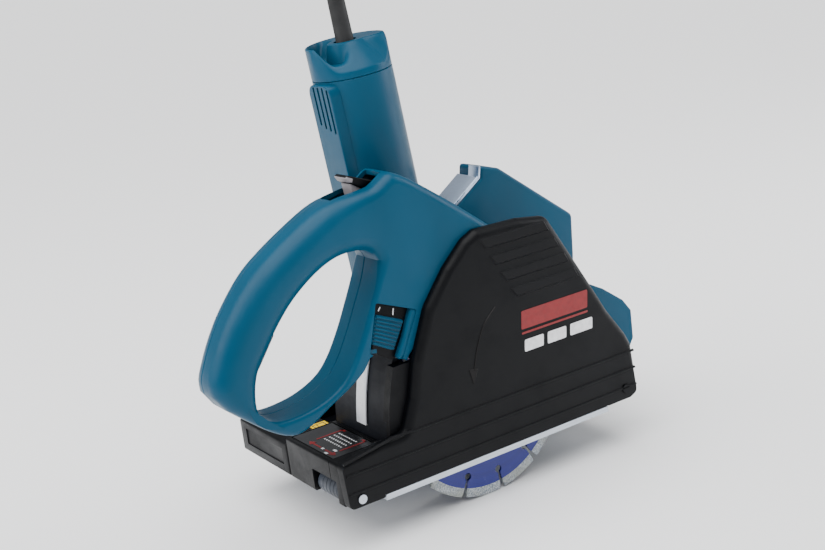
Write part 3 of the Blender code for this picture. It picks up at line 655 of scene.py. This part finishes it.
def plug():
    """A moulded earthed plug: a ribbed grip that swells to a round face, with two pins."""
    along = PLUG_END - PLUG_START
    length = along.length
    profile = [(CORD_R + 0.1, -14), (5.4, -14), (6.2, 0), (8.6, 1.5)]
    for i in range(7):
        low = 4 + i * 5.2
        swell = 9 + 9 * (low / length) ** 1.3
        profile += [(swell, low), (swell + 0.5, low + 0.6), (swell + 0.5, low + 2.6), (swell, low + 3.2)]
    profile += [(17.4, length - 3), (18.2, length), (18.2, length + 4), (17.2, length + 5)]
    profile += [(13, length + 5), (12.5, length + 2.5), (0.01, length + 2.5), (0.01, -14)]
    body = piece("plug_grip", "base", turned(profile, PLUG_START, along, 72), "rubber", ("plug_body",))
    for name in ("left", "right"):
        keep("plug_pin_" + name, "steel", 0.5)
    return body


def cord():
    path = cord_path()
    lead = piece("mains_lead", None, tube(path, CORD_R, 20), "rubber", ("mains_cord", "cord_coil"), angle=60)
    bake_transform(lead)
    body = plug()


def swell(value, low, high):
    t = max(0.0, min(1.0, (value - low) / (high - low)))
    return t * t * (3 - 2 * t)


# ---- Base ----

COVER = (
    [(0, 1, 5), (-2, 34, 4), (30, 41, 8), (52, 41, 8), (62, 65, 4), (68, 90, 4), (84, 126, 20)]
    + [(104, 150, 10), (122, 166, 12), (133, 171, 8), (172, 170, 6), (198, 166, 9), (234, 104, 12)]
    + [(248, 79, 8), (264, 56, 6), (269, 46, 5), (269, 6, 5), (262, 2.9, 4), (239, 2.9, 0)]
    + [(239, 3.3, 0), (29, 3.3, 0), (29, 1, 0)]
)
COVER_DEPTH = 8.0


def ridge(points, half_width, height, face):
    """A raised line on a face across Y: a pointed ridge along (x, z) points."""
    foot, crest = face + 0.3, face - height
    sides = ((-1, foot), (-0.35, crest), (0.35, crest), (1, foot))
    rings = []
    for i, point in enumerate(points):
        before, after = points[max(i - 1, 0)], points[min(i + 1, len(points) - 1)]
        along = Vector((after[0] - before[0], after[1] - before[1])).normalized()
        out = Vector((-along.y, along.x)) * half_width
        rings.append([(point[0] + out.x * side, y, point[1] + out.y * side) for side, y in sides])
    return skin(rings)


def cover_edge(z):
    """The edge radius of the cover at height z: broad above the ramp, crisp below it."""
    return 0.9 + 5.6 * swell(z, 32, 44)


def cover_shape():
    """The cover's pan, its outer edge rounded by a radius that follows the height."""
    outline = fillet(COVER, 4)
    if not turns_left(outline):
        outline.reverse()
    rings = []
    for step in range(9):
        a = pi / 2 * step / 8
        radii = [cover_edge(p[1]) for p in outline]
        moved = inset(outline, [r * (1 - sin(a)) for r in radii])
        rings.append([(x, r * (1 - cos(a)), z) for (x, z), r in zip(moved, radii)])
    rings.append([(x, COVER_DEPTH, z) for x, z in outline])
    bm = bmesh.new()
    fill_ends(bm, [bridge(bm, rings)])
    return from_bmesh(bm)


def side_cover():
    sinks = []
    for x, z in ((10, 7), (257, 12)):
        sinks.append(turned([(0.01, -1), (3.9, -1), (3.9, 0.9), (0.01, 0.9)], (x, 0, z), (0, 1, 0), 32))
    shapes = [cut(cover_shape(), *sinks)]
    for line in (
        [(-1, 36.2), (26, 40), (40, 42.6), (54, 42.2), (268.2, 41)],
        [(0, 27), (268.2, 27)],
        [(0.6, 12.8), (268.2, 12.8)],
    ):
        shapes.append(ridge(line, 1.15, 1.0, 0))
    for i in range(4):
        low, left, right = 156 - 14 * i, 138 + 7.6 * i, 197 + 8 * i
        loop = [(left, low), (left - 5, low + 8.2), (right - 4, low + 8.2), (right, low)]
        shapes.append(slab([loop], -1.15, 0.5, 1.1, 0.0, 1))
    piece("side_cover_pan", "base", merged(*shapes), "black", ("side_cover",), angle=30)
    arrow()
    markings()
    keep("cover_screw_rear", "steel", 0.3)
    keep("cover_screw_front", "black", 0.3)


def arrow():
    """The direction arrow, raised in gloss black along an arc about the disc's axis."""
    curve = smooth([(141, 112), (129, 101), (121, 86), (116, 70)], 2.0)
    line = ridge([tuple(p) for p in curve], 0.75, 0.5, 0)
    head = slab([[(111.5, 72), (119.5, 70.5), (114, 60)]], -0.5, 0.3, 0.2, 0, 1)
    piece("direction_arrow", "base", merged(line, head), "rim", angle=30)


def slanted(x_low, x_high, z_low, z_high, lean=0.12):
    """A bar whose ends lean and whose sides keep level with the cover."""
    rise = z_high - z_low
    corners = [(x_low, z_low), (x_high, z_low), (x_high + rise * lean, z_high), (x_low + rise * lean, z_high)]
    return fillet(corners, 1.2, 3)


def markings():
    """Plain red and white bars, where a maker would print a name."""
    red = [slab([slanted(162, 226, 88, 102)], -0.16, 0.2), slab([slanted(162, 226, 84.2, 85.8)], -0.16, 0.2)]
    piece("red_marking", "base", merged(*red), "red_ink")
    blocks = ((163, 181), (185, 203), (207, 229))
    white = [slab([slanted(low, high, 70.5, 79.5)], -0.16, 0.2) for low, high in blocks]
    piece("white_marking", "base", merged(*white), "white_ink")


def base_body():
    """The moulded base: two end blocks, a rail, the front bridge and the roller wells."""
    near = block((0, 8.3, 0.8), (44, 88, 32), 1.6)
    far = block((0, 88.6, 0.8), (44, 166.9, 27), 1.6)
    wells = []
    for low, high in ((16.2, 50.8), (129.2, 163.8)):
        wells.append(block((-6 if low < 20 else 1.6, low, -4), (23, high, 18.6), 0.8))
    near = cut(near, wells[0], block((4, 24, 30.5), (40, 86, 40)), block((-1, 23.1, -1), (0.8, 23.8, 33)))
    far = cut(far, wells[1], block((-1, 97, 8), (0.9, 157, 21), 0.4))
    bed = block((43, 8.3, 0.8), (269, 62.5, 9), 0.6)
    bed = cut(bed, block((46, 7.2, -1), (218, 62, 12)))
    rail = block((43, 152, 0.9), (268.8, 166.8, 22), 1.4)
    floor = block((43, 62.0, 0.8), (269, 160, 9), 0.6)
    bridge = block((224, 66, 1.0), (268.7, 156, 21), 1.4)
    front = [block((229, low, -4), (253, high, 18.6), 0.8) for low, high in ((71.2, 104.8), (129.2, 163.8))]
    floor, bridge, rail = cut(floor, *(m.copy() for m in front)), cut(bridge, front[0]), cut(rail, front[1])
    ears = [block((247, 8.32, 1.4), (263, 16, 32), 1.0), block((247, 60, 1.5), (263, 67, 32), 1.0)]
    shape = merged(near, far, bed, rail, floor, bridge, *ears)
    piece("base_moulding", "base", shape, "black", ("base_frame",), angle=40)


def label():
    """A film label with a frame, arrows and dots, and a small yellow sticker beside it."""
    keep("label_plate", "label", 0.25)
    top = 31.9
    red = []

    def strip(x_low, y_low, x_high, y_high):
        return block((x_low, y_low, top - 0.05), (x_high, y_high, top + 0.12))

    for corners in (
        (15, 65.5, 38, 67.2),
        (15, 32.5, 38, 34.2),
        (36.2, 32.5, 38, 38),
        (36.2, 62, 38, 67.2),
        (8.5, 50, 10, 62),
        (8.5, 34, 10, 44),
    ):
        red.append(strip(*corners))
    for y, side in ((64.5, 1), (31.5, -1)):
        corners = ((6.3, y - 3 * side), (12.2, y - 3 * side), (9.25, y + 2.6 * side))
        red.append(skin([[(*corner, top + lift) for corner in corners] for lift in (0, 0.15)]))
    piece("label_red", "base", merged(*red), "red_ink")
    white = [strip(8.4, 46, 10.2, 48.8), strip(12.5, 34.5, 14.4, 39), strip(5.8, 36, 7.6, 40)]
    for row in range(4):
        for column in range(9):
            x, y = 19 + row * 4.2, 38 + column * 2.9
            white.append(strip(x, y, x + 1.1, y + 1.5))
    piece("label_white", "base", merged(*white), "white_ink")
    sticker = skin([[(28, 92, z), (42, 92, z), (43, 105, z), (29, 105, z)] for z in (26.95, 27.3)])
    piece("safety_sticker", "base", sticker, "yellow_ink")
    frame_bars = [block((30.5 + dx, 94.5, 27.28), (31.1 + dx, 102.5, 27.42)) for dx in (0, 3.2, 9.5)]
    frame_bars += [block((30.5, y, 27.28), (40.6, y + 0.6, 27.42)) for y in (94.5, 102.2)]
    piece("sticker_print", "base", merged(*frame_bars), "black_ink")


def guard():
    for name, finish, bevel in (
        ("sole_plate", "alloy", 0.35),
        ("guard_rear_wall", "grey", 0.5),
        ("guard_rear_block", "black", 0.8),
        ("depth_scale_strip", "scale", 0.15),
        ("depth_stop_screw", "black", 0.25),
        ("rear_roller_axle", "steel", 0.3),
        ("front_roller_axle", "steel", 0.3),
        ("pivot_pin", "steel", 0.3),
        ("return_spring", "steel", 0.0),
    ):
        keep(name, finish, bevel)


def rollers():
    """Moulded rollers with fine grooves."""
    for name, x, low, high in (
        ("rear_near", 11.0, 17.0, 50.0),
        ("rear_far", 11.0, 130.0, 163.0),
        ("front_near", 241.0, 72.0, 104.0),
        ("front_far", 241.0, 130.0, 163.0),
    ):
        profile = [(3.3, low), (7.8, low), (8.8, low + 1)]
        y = low + 4
        while y < high - 4:
            profile += [(9, y), (8.6, y + 0.3), (8.6, y + 0.9), (9, y + 1.2)]
            y += 5.0
        profile += [(8.8, high - 1), (7.8, high), (3.3, high)]
        mesh = turned(profile, (x, 0, 7.0), (0, 1, 0), 48)
        piece("roller_tyre_" + name, "roller_" + name, mesh, "tyre", ("roller_" + name,))


# ---- Machine shells ----

OUTER = (
    [(-78.5, 106, 12), (-79, 114, 14), (-76, 123, 15), (-68, 139, 15), (-56, 157, 15), (-38, 177, 15)]
    + [(-20, 190, 15), (1, 202, 15), (19, 210.5, 14), (33, 214, 12), (48, 215.5, 9), (60, 217, 8)]
    + [(68, 221.5, 8), (75, 224.5, 8), (86, 219.5, 7), (102, 208.5, 7), (124, 192, 7), (150, 171, 6)]
    + [(172, 152, 5)]
)
NOSE = (
    [(205, 122, 4), (232, 104, 3), (262, 91, 3), (280, 81, 3), (300, 66, 3), (308, 55, 3), (308, 31, 3)]
    + [(300, 19, 2), (276, 18, 1), (272, 38, 1), (238, 38, 1), (212, 47, 1)]
)
NOSE_CUT = [(236, 103), (246, 84), (262, 58), (267, 50), (267, -5), (330, -5), (330, 122), (236, 122)]
NOSE_NEAR = 44.0
NOSE_WEB = [(240, 99.5), (262, 90.2), (280, 80.2), (299.3, 65.3), (307, 54.5), (307, 31.5), (299.8, 19.8)]
NOSE_WEB += [(277, 19), (273.5, 36), (269, 44), (268.6, 56.5), (262, 60), (246, 86)]
CLEAR = 81.0
ARM = (
    [(62, 93.5, 1.5), (41, 102.5, 1.5), (32, 93, 3), (20, 84.5, 4), (1, 75, 4), (-13, 67.5, 4)]
    + [(-25, 64, 4.5), (-34, 66, 5), (-45, 72.5, 6), (-59, 84, 8), (-71, 94.5, 10)]
)
HAND = (
    [(57, 166, 7), (52, 152, 4), (44, 136, 4), (33.5, 116, 4), (22, 98, 3.5), (10, 87, 3.5), (-9, 79.5, 3.5)]
    + [(-30, 77, 3.5), (-43, 79.5, 5), (-50, 87.5, 7), (-49.5, 99, 10), (-44.5, 113, 13)]
    + [(-35, 126, 14), (-24, 140.5, 14), (-9.5, 155, 14), (9, 168, 13), (26, 175, 12), (43, 176, 11)]
    + [(53, 172.5, 10)]
)
GRIP_LOW, GRIP_HIGH = Vector((-44.5, 113)), Vector((-24, 140.5))
GRIP_ALONG = (GRIP_HIGH - GRIP_LOW).normalized()
GRIP_OUT = Vector((GRIP_ALONG.y, -GRIP_ALONG.x))
SHELL_SPACING = 5.0


def shell_outline():
    clearance = [(x, z, 1.0) for x, z in arc(DISC_AXIS, CLEAR, 4, 141, 40)]
    loop = smooth(OUTER, SHELL_SPACING) + [Vector(p) for p in NOSE + clearance] + smooth(ARM, SHELL_SPACING)
    loop = [tuple(p) for p in loop]
    return loop if turns_left(loop) else loop[::-1]


def hand_outline():
    loop = [tuple(p) for p in smooth(HAND + HAND[:1], SHELL_SPACING)[:-1]]
    return loop[::-1] if turns_left(loop) else loop


def face_drop(x, drop):
    """How much further in the outer face lies at x: the handle is thinner than the body."""
    return drop * swell(110 - x, 0, 65)


def shell_rings(loop, face, back, wall, steps, drop):
    """The rings of one outline, from its rounded edge at the face to the back, shrunk by wall."""
    into = 1 if back > face else -1
    places = [(p[0], p[1]) for p in loop]
    radii = [max(p[2] - wall, 0.8) for p in loop]
    rings = []
    for step in range(steps + 1):
        angle = pi / 2 * step / steps
        moved = inset(places, [wall + r * (1 - sin(angle)) for r in radii])
        depths = [
            face + into * (wall + r * (1 - cos(angle)) + face_drop(p[0], drop))
            for p, r in zip(places, radii)
        ]
        rings.append([(x, y, z) for (x, z), y in zip(moved, depths)])
    if wall == 0:
        moved = inset(places, [0.0] * len(places))
        rings.append([(x, back - into * 0.5, z) for x, z in moved])
        moved = inset(places, [0.4] * len(places))
    else:
        moved = inset(places, [wall] * len(places))
    rings.append([(x, back, z) for x, z in moved])
    return rings


def half_shell(face, back, drop, steps=7):
    """Half of a hollow moulding, open at its back, with a fine groove along its seam."""
    bm = bmesh.new()
    bridges = []
    for loop in (shell_outline(), hand_outline()):
        outside = shell_rings(loop, face, back, 0.0, steps, drop)
        inside = shell_rings(loop, face, back, WALL, 3, drop)
        bridges.append(bridge(bm, outside + inside[::-1]))
    fill_ends(bm, bridges)
    bmesh.ops.recalc_face_normals(bm, faces=bm.faces)
    mesh = bpy.data.meshes.new("shell")
    bm.to_mesh(mesh)
    bm.free()
    return mesh


def grip_point(along, out):
    place = GRIP_LOW + GRIP_ALONG * along + GRIP_OUT * out
    return (place.x, place.y)


def grip_plate(low, high, inner, outer, y_low, y_high, radius=0.0):
    corners = ((low, inner), (high, inner), (high, outer), (low, outer))
    corners = [grip_point(*corner) for corner in corners]
    return slab([fillet(corners, 1.5)], y_low, y_high, radius, radius, 2)


def machine_shells():
    seams = (
        ("handle_near", SHELL_NEAR, SEAM - 0.15, 0.0),
        ("handle_far", SHELL_FAR, SEAM + 0.15, HANDLE_DROP),
    )
    for name, face, seam, drop in seams:
        into = 1 if seam > face else -1
        room = WALL + 0.07
        tools = []
        for start, end, less in ((0, 100, 0), (96, 150, drop)):
            low, high = sorted((face + into * (room + less), seam + into * 4))
            outer, inner = CLEAR + 9, CLEAR - 9
            band = arc(DISC_AXIS, outer, start, end, 24) + arc(DISC_AXIS, inner, end, start, 24)
            tools.append(slab([band], low, high))
        tools.append(slab([[(44, 90), (70, 80), (72, 106), (46, 112)]], low, high))
        low, high = sorted((face + into * room, seam + into * 4))
        tools.append(slab([[(241, 30), (273.5, 30), (273.5, 44), (241, 44)]], low, high))
        low, high = sorted((seam + into * 2, SEAM - into * 10))
        well = fillet([(31, 207), (52, 202), (64, 204), (73.5, 212), (73.5, 240), (31, 240)], 3)
        tools.append(slab([well], low, high))
        tools.append(grip_plate(-4, 37, -11, 6, low, high))
        tools.append(slab([NOSE_CUT], 0, NOSE_NEAR))
        shape = cut(half_shell(face, seam, drop), *tools)
        if name == "handle_near":
            mouth = fillet([(47.5, 138.6), (79.5, 125.2), (62, 91.6), (37, 104)], 1.5)
            shape = cut(shape, slab([mouth], 0, 12.7))
        if drop:
            web = slab([NOSE_WEB], NOSE_NEAR + 0.05, NOSE_NEAR + 2.5)
            shape = applied(shape, ("UNION", web))
        for x, z in ((-64, 119), (31, 196), (98, 196)) if drop else ():
            surface = face - face_drop(x, drop)
            post = rod((x, surface - 4, z), (x, surface, z), 5.4, edge=0.3)
            hole = rod((x, surface - 3.4, z), (x, surface + 2, z), 3.9, edge=0.0)
            shape = applied(shape, ("UNION", post), ("DIFFERENCE", hole))
        piece(name + "_moulding", "machine", shape, "teal", (name + "_shell",), angle=32)
    for i in (1, 2):
        keep(f"handle_screw_{i}", "steel", 0.25)
    recess()


def recess():
    """The stepped recess with the depth slider: a dark bed and a rounded strip beside the cover."""
    bed = [(48, 138), (77, 125.3), (60.5, 94.5), (56, 94), (46, 99.8), (42, 106)]
    mesh = slab([fillet(bed, 1.0)], 12.75, 14.6, 0.2, 0.0, 2)
    piece("slider_bed", "machine", mesh, "black", ("slider_guide",), angle=30)
    strip = [(75, 128), (81, 125.2), (72, 108), (66, 95.5), (62, 92.2), (58.5, 94.8), (66, 108)]
    mesh = slab([fillet(strip, 2.5)], 8.6, 14.4, 2.2, 0.0, 5)
    piece("slider_cheek", "machine", mesh, "teal", angle=40)
    marks = []
    for (x, z), (x_end, z_end) in (((52.6, 133.6), (50.7, 131.1)), ((63, 129.8), (62, 125.1))):
        along = Vector((x_end - x, z_end - z)).normalized()
        side = Vector((-along.y, along.x)) * 0.45
        loop = [(x + side.x, z + side.y), (x - side.x, z - side.y)]
        loop += [(x_end - side.x, z_end - side.y), (x_end + side.x, z_end + side.y)]
        marks.append(slab([loop], 12.6, 12.9))
    piece("slider_marks", "machine", merged(*marks), "white_ink")


def slider():
    corners = [Vector(p) for p in ((47, 130), (69, 120), (57.5, 100.5), (40.5, 110))]
    shapes = [slab([fillet([tuple(c) for c in corners], 2.0)], 10.6, 12.55, 0.5, 0.1, 3)]
    count = 8
    for i in range(count):
        t = (i + 0.5) / count
        left, right = corners[0].lerp(corners[3], t), corners[1].lerp(corners[2], t)
        up = (corners[0] - corners[3]).normalized() * 0.75
        loop = [left + up, right + up, right - up, left - up]
        loop = [tuple(p.lerp((left + right) / 2, 0.05)) for p in loop]
        shapes.append(slab([fillet(loop, 0.4, 2)], 9.3, 11.2, 0.6, 0.0, 2))
    piece("slider_knob", "depth_slider", merged(*shapes), "teal", ("depth_slider",), angle=30)


HOOD_BELOW = [(267, 145, 6), (265, 112, 6), (258, 60, 8), (243, 46, 6), (206, 46, 10), (170, 64, 10)]
HOOD_BELOW += [(159, 100, 10), (158, 140, 6)]
HOOD = [(148, 168, 3), (158, 177.5, 3), (182, 193.2, 1.5), (183.5, 202, 3), (200, 197, 8)] + HOOD_BELOW
HOOD_FAR = [(150, 163.3, 1.5), (175, 172, 3), (180, 181, 3), (203, 194.4, 2)] + HOOD_BELOW
OUTLET = (214.0, 98.0)


def shrunk(loop, distance):
    """The closed loop moved inwards, whichever way it turns."""
    return inset(loop, [distance if turns_left(loop) else -distance] * len(loop))


def hood():
    """The disc guard's far side; its upper rear corner is cut back beyond the strap."""
    near, far = fillet(HOOD, 6), fillet(HOOD_FAR, 6)
    shape = slab([near], 57.2, 86.5, 2.4, 1.2, 5)
    shape = applied(shape, ("UNION", slab([far], 84, 104, 0.0, 5.0, 5)))
    mouth = rod((OUTLET[0], 97, OUTLET[1]), (OUTLET[0], 110, OUTLET[1]), 17.5, edge=0)
    hollows = slab([shrunk(near, 3)], 60.2, 83.5), slab([shrunk(far, 3.1)], 60.3, 101)
    shape = cut(shape, *hollows, mouth, block((212, 62, 40), (240, 99, 52)))
    shape = cut(shape, slab([shrunk(far, -1.0), shrunk(far, 0.35)], 89, 89.6))
    piece("guard_hood_moulding", "machine", shape, "teal", ("guard_hood",), angle=30)
    profile = [(17.5, 104.3), (20.5, 104.3), (20.5, 108)]
    for y in (110, 114, 118):
        profile += [(20.5, y), (20.2, y + 0.4), (20.2, y + 1.6), (20.5, y + 2)]
    profile += [(20.5, 134.5), (19.6, 136), (18.2, 136), (17.5, 135.2)]
    mesh = turned(profile, (OUTLET[0], 0, OUTLET[1]), (0, 1, 0), 72)
    piece("dust_spout", "machine", mesh, "black", ("dust_outlet",), angle=30)


def strap():
    """A pressed strap on the hood's sloping corner, with a folded rim and an end tab."""
    band = slab([[(156.2, 176.4), (181.2, 193.1), (180.4, 194.4), (155.4, 177.7)]], 57.5, 85.9, 0.3, 0.3, 2)
    tab = [(180.1, 192.6), (181.3, 193.2), (182.9, 202), (181.4, 202.3), (179.6, 193.6)]
    rim = [(155.6, 177.6), (179.8, 193.8), (179.0, 195.0), (154.8, 178.8)]
    shapes = [band, slab([tab], 57.5, 70.9, 0.3, 0.3, 2), slab([rim], 57.5, 58.9, 0.2, 0.2, 2)]
    piece("strap_band", "machine", merged(*shapes), "strap", ("hood_strap",), bevel=0.25, angle=30)


# ---- Motor and drive ----


def polar(radius, angle, height):
    return MOTOR_FRAME @ Vector((radius * cos(angle), radius * sin(angle), height))


CAP_LOW, CAP_TOP, CAP_R = 247.3, 271.0, 30.2
BOWL_FACING = 172.0


def cap_height(radius, degrees):
    """The top of the end cap: a cone round the cord, with a bowl scooped out on the rear side."""
    off = abs((degrees - BOWL_FACING + 180) % 360 - 180)
    front = abs((degrees - 262 + 180) % 360 - 180)
    rim = CAP_TOP - 19.0 * (1 - swell(front, 35, 85))
    cone = min(CAP_TOP, rim + (CAP_R - radius) * 1.16)
    scooped = (1 - swell(off, 48, 78)) * swell(radius, 13, 17) * (1 - swell(radius, 26, 28.5))
    return cone - max(0.0, cone - 257.0) * scooped


def motor_cap():
    sides = 120
    radii = [8.5, 9.5, 10.5, 11.5, 12.5, 13.5, 15, 17, 19, 21, 22.5, 24, 25.5, 26.8, 27.8, 28.8, 29.6, CAP_R]
    rings = []
    angles = [360 * i / sides for i in range(sides)]
    inside = ((8.5, 254), (26.8, 251), (26.8, CAP_LOW), (CAP_R - 0.4, CAP_LOW), (CAP_R, CAP_LOW + 0.4))
    for radius, height in inside:
        rings.append([polar(radius, radians(a), height) for a in angles])
    for radius in reversed(radii):
        dip = 0.6 if radius == CAP_R else 0.0
        rings.append([polar(radius, radians(a), cap_height(radius, a) - dip) for a in angles])
    bm = bmesh.new()
    bridge(bm, rings, looped=True)
    piece("motor_cap_moulding", "machine", from_bmesh(bm), "teal", ("motor_end_cap",), angle=40)


def motor_slab(side_low, side_high, y_low, y_high, low, high, radius, face_radius):
    """A rounded pad on the motor's rear side, its outline in the plane across the motor axis."""
    outline = [(y_low, low), (y_high, low), (y_high, high), (y_low, high)]
    loop = fillet([(y, s, radius) for y, s in outline], radius, 8)
    mesh = slab([loop], -side_high, -side_low, 0.0, face_radius, 4)
    turn = Matrix(((0, -1, 0, 0), (1, 0, 0, 0), (0, 0, 1, 0), (0, 0, 0, 1)))
    mesh.transform(MOTOR_FRAME @ turn)
    return mesh


def motor():
    barrel = turned(
        [(27.4, 62), (30.4, 62), (30.8, 62.4), (30.3, 240), (30.2, 246.6), (29.8, 247), (27.4, 247)],
        (0, 0, 0),
        (0, 0, 1),
        128,
    )
    barrel.transform(MOTOR_FRAME)
    floor = turned([(20, 62.0), (28, 62.0), (28, 66), (20, 66)], (0, 0, 0), (0, 0, 1), 96)
    floor.transform(MOTOR_FRAME)
    pad = motor_slab(-32.6, -24, -19, 12, 62.6, 246, 9.0, 1.0)
    shape = applied(barrel, ("UNION", pad), ("UNION", floor))
    slots = []
    for i, (low, high) in enumerate(((210, 243), (211.5, 244.5), (213, 244.5), (215.5, 244.5))):
        y = -16 + 6.2 * i
        slots.append(motor_slab(-40, -18, y, y + 2.4, low, high, 1.15, 0.0))
    piece("motor_barrel", "machine", cut(shape, *slots), "teal", ("motor_housing",), angle=32)
    motor_cap()
    start, along = motor_point(0), Vector(motor_point(1)) - Vector(motor_point(0))
    profile = [(CORD_R + 0.5, 254), (7.0, 254), (8.0, 258), (8.0, 267), (6.7, 270), (6.3, 300)]
    for i in range(4):
        s = 302 + 4 * i
        r = 6.2 - 0.16 * i
        profile += [(r, s), (r - 0.5, s + 0.5), (r - 0.5, s + 1.5), (r, s + 2)]
    profile += [(5.2, 318.5), (CORD_R + 0.5, 318.5)]
    piece("cord_sleeve", "machine", turned(profile, start, along, 64), "rubber", ("cord_strain_relief",))


def lever():
    """The release lever: a dark thumb plate, a pale heel and a dark stem that drops into the handle."""
    plate = [(46.2, 226), (48.4, 226.9), (71, 218.2), (72.4, 208), (67.6, 207), (60, 214.5), (49.5, 221)]
    mesh = slab([fillet(plate, 1.2, 3)], 24.2, 39.8, 0.9, 0.9, 3)
    obj = piece("lever_plate", "release_lever", mesh, "black", ("release_lever",), angle=34)
    tip = [(46.2, 225.4), (47.6, 226.6), (52.6, 224.2), (51.4, 220.8), (48.2, 222)]
    stem = [(50, 221), (58.5, 217), (60, 205), (54.4, 203.2), (51.5, 211)]
    shapes = [slab([fillet(tip, 1.0, 3)], 24.1, 39.9, 0.8, 0.8, 3)]
    shapes.append(slab([fillet(stem, 1.0, 3)], 25.5, 38.5, 0.8, 0.8, 3))
    piece("lever_heel", "release_lever", merged(*shapes), "light_grey", angle=34)
    return obj


def disc_slot(angle, y):
    """A slot through a disc's edge that ends in a round keyhole."""
    c, s = cos(angle), sin(angle)
    inner = DISC_RADIUS - 16.0
    half = [(inner, -1.1), (DISC_RADIUS - 7, -1.3), (DISC_RADIUS - 2, -2.0), (DISC_RADIUS + 2, -3.6)]
    loop = half + [(x, -side) for x, side in reversed(half)]
    shapes = []
    for shape in (loop, arc((inner, 0), 2.9, 0, 360, 17)[:-1]):
        spun = [(DISC_AXIS[0] + x * c - z * s, DISC_AXIS[1] + x * s + z * c) for x, z in shape]
        shapes.append(slab([spun], y - 1, y + DISC_THICK + 1))
    return applied(shapes[0], ("UNION", shapes[1]))


def discs():
    """Steel cores with key-hole slots, each edged with sintered segments."""
    core = DISC_RADIUS - 7.0
    for name, y in (("near", 13.2), ("far", 40.9)):
        middle = (DISC_AXIS[0], 0, DISC_AXIS[1])
        flat = [(11.3, y + 0.2), (core + 1, y + 0.2), (core + 1, y + 2.2), (11.3, y + 2.2)]
        edge = [(core, y + 0.1), (core + 0.1, y), (DISC_RADIUS - 0.2, y), (DISC_RADIUS, y + 0.3)]
        edge += [(DISC_RADIUS, y + 2.1), (DISC_RADIUS - 0.2, y + DISC_THICK)]
        edge += [(core + 0.1, y + DISC_THICK), (core, y + 2.3)]
        slots = [disc_slot(2 * pi * i / 13, y) for i in range(13)]
        mesh = cut(turned(flat, middle, (0, 1, 0), 160), *(slot.copy() for slot in slots))
        piece("disc_core_" + name, "spindle", mesh, "blade", ("cutting_disc_" + name,), angle=30)
        mesh = cut(turned(edge, middle, (0, 1, 0), 160), *slots)
        piece("disc_segments_" + name, "spindle", mesh, "grit", angle=30)


def drive():
    """The inner pieces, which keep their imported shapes."""
    finishes = {
        "steel": "spindle crown_gear drive_pinion inner_flange spacer_ring clamping_nut armature_shaft"
        " armature_bearing_lower armature_bearing_upper spindle_bearing",
        "iron": "armature_core stator",
        "copper": "commutator brush_near brush_far",
        "cast": "bearing_flange gear_case front_hinge_block",
        "black": "cooling_fan spindle_lock_button",
        "grey": "switch_body",
    }
    for finish, names in finishes.items():
        for name in names.split():
            keep(name, finish, 0.3 if name in ("gear_case", "front_hinge_block", "clamping_nut") else 0.0)


def trigger():
    corners = [grip_point(*p) for p in ((-1, -4), (33, -4), (33, 1), (27, 3.5), (3, 3.5), (-1, 2))]
    mesh = slab([fillet(corners, 2.5, 4)], 22.9, 41.1, 2.0, 2.0, 4)
    piece("trigger_pad", "trigger", mesh, "black", ("trigger",), angle=34)


# ---- Stage ----


def stage():
    bpy.ops.mesh.primitive_plane_add(size=60, location=(0, 0, world(0, 0, FLOOR_Z).z - 0.0005))
    floor = bpy.context.object
    floor.name = "floor"
    n = Nodes("floor_paint")
    n.set(Base_Color=(0.92, 0.92, 0.925, 1.0), Roughness=0.85, Specular_IOR_Level=0.1)
    floor.data.materials.append(n.material)

    settings = bpy.data.worlds.new("studio")
    bpy.context.scene.world = settings
    settings.use_nodes = True
    background = settings.node_tree.nodes["Background"]
    background.inputs["Color"].default_value = (0.95, 0.97, 1.0, 1.0)
    background.inputs["Strength"].default_value = 0.42

    def area(name, place, target, power, width, height, colour=(1, 1, 1)):
        data = bpy.data.lights.new(name, "AREA")
        data.energy, data.color, data.shape = power, colour, "RECTANGLE"
        data.size, data.size_y = width, height
        lamp = bpy.data.objects.new(name, data)
        lamp.location = place
        lamp.rotation_euler = (Vector(target) - Vector(place)).to_track_quat("-Z", "Y").to_euler()
        bpy.context.scene.collection.objects.link(lamp)

    middle = (0.0, -0.05, 0.12)
    area("key_left", (-1.5, 0.35, 1.0), middle, 17, 1.2, 1.2)
    area("fill_right", (1.4, -0.5, 0.7), middle, 11, 0.5, 1.3, (0.96, 0.98, 1.0))
    area("front_fill", (-0.3, -1.9, 0.9), middle, 2.5, 1.6, 0.9)
    sun = bpy.data.lights.new("overhead", "SUN")
    sun.energy, sun.angle = 4.4, radians(70)
    lamp = bpy.data.objects.new("overhead", sun)
    lamp.rotation_euler = (radians(8), radians(-10), 0)
    bpy.context.scene.collection.objects.link(lamp)


CAMERA_PLACE = Vector((-0.514788, -0.850155, 0.395028))
CAMERA_AZIMUTH, CAMERA_ELEVATION, CAMERA_ROLL = radians(-31.708), radians(15.342), radians(-7.531)


def camera():
    data = bpy.data.cameras.new("camera")
    data.lens, data.sensor_width = 57.32, 36.0
    level = cos(CAMERA_ELEVATION)
    back = Vector((sin(CAMERA_AZIMUTH) * level, -cos(CAMERA_AZIMUTH) * level, sin(CAMERA_ELEVATION)))
    right = (-back).cross(Vector((0, 0, 1))).normalized()
    up = back.cross(right)
    rolled_right = right * cos(CAMERA_ROLL) + up * sin(CAMERA_ROLL)
    rolled_up = up * cos(CAMERA_ROLL) - right * sin(CAMERA_ROLL)
    obj = bpy.data.objects.new("camera", data)
    turn = Matrix((rolled_right, rolled_up, back)).transposed()
    obj.matrix_world = Matrix.Translation(CAMERA_PLACE) @ turn.to_4x4()
    bpy.context.scene.collection.objects.link(obj)
    bpy.context.scene.camera = obj


def build():
    camera()
    stage()
    cord()
    side_cover()
    base_body()
    label()
    guard()
    rollers()
    machine_shells()
    slider()
    hood()
    strap()
    motor()
    lever()
    discs()
    drive()
    trigger()


build()
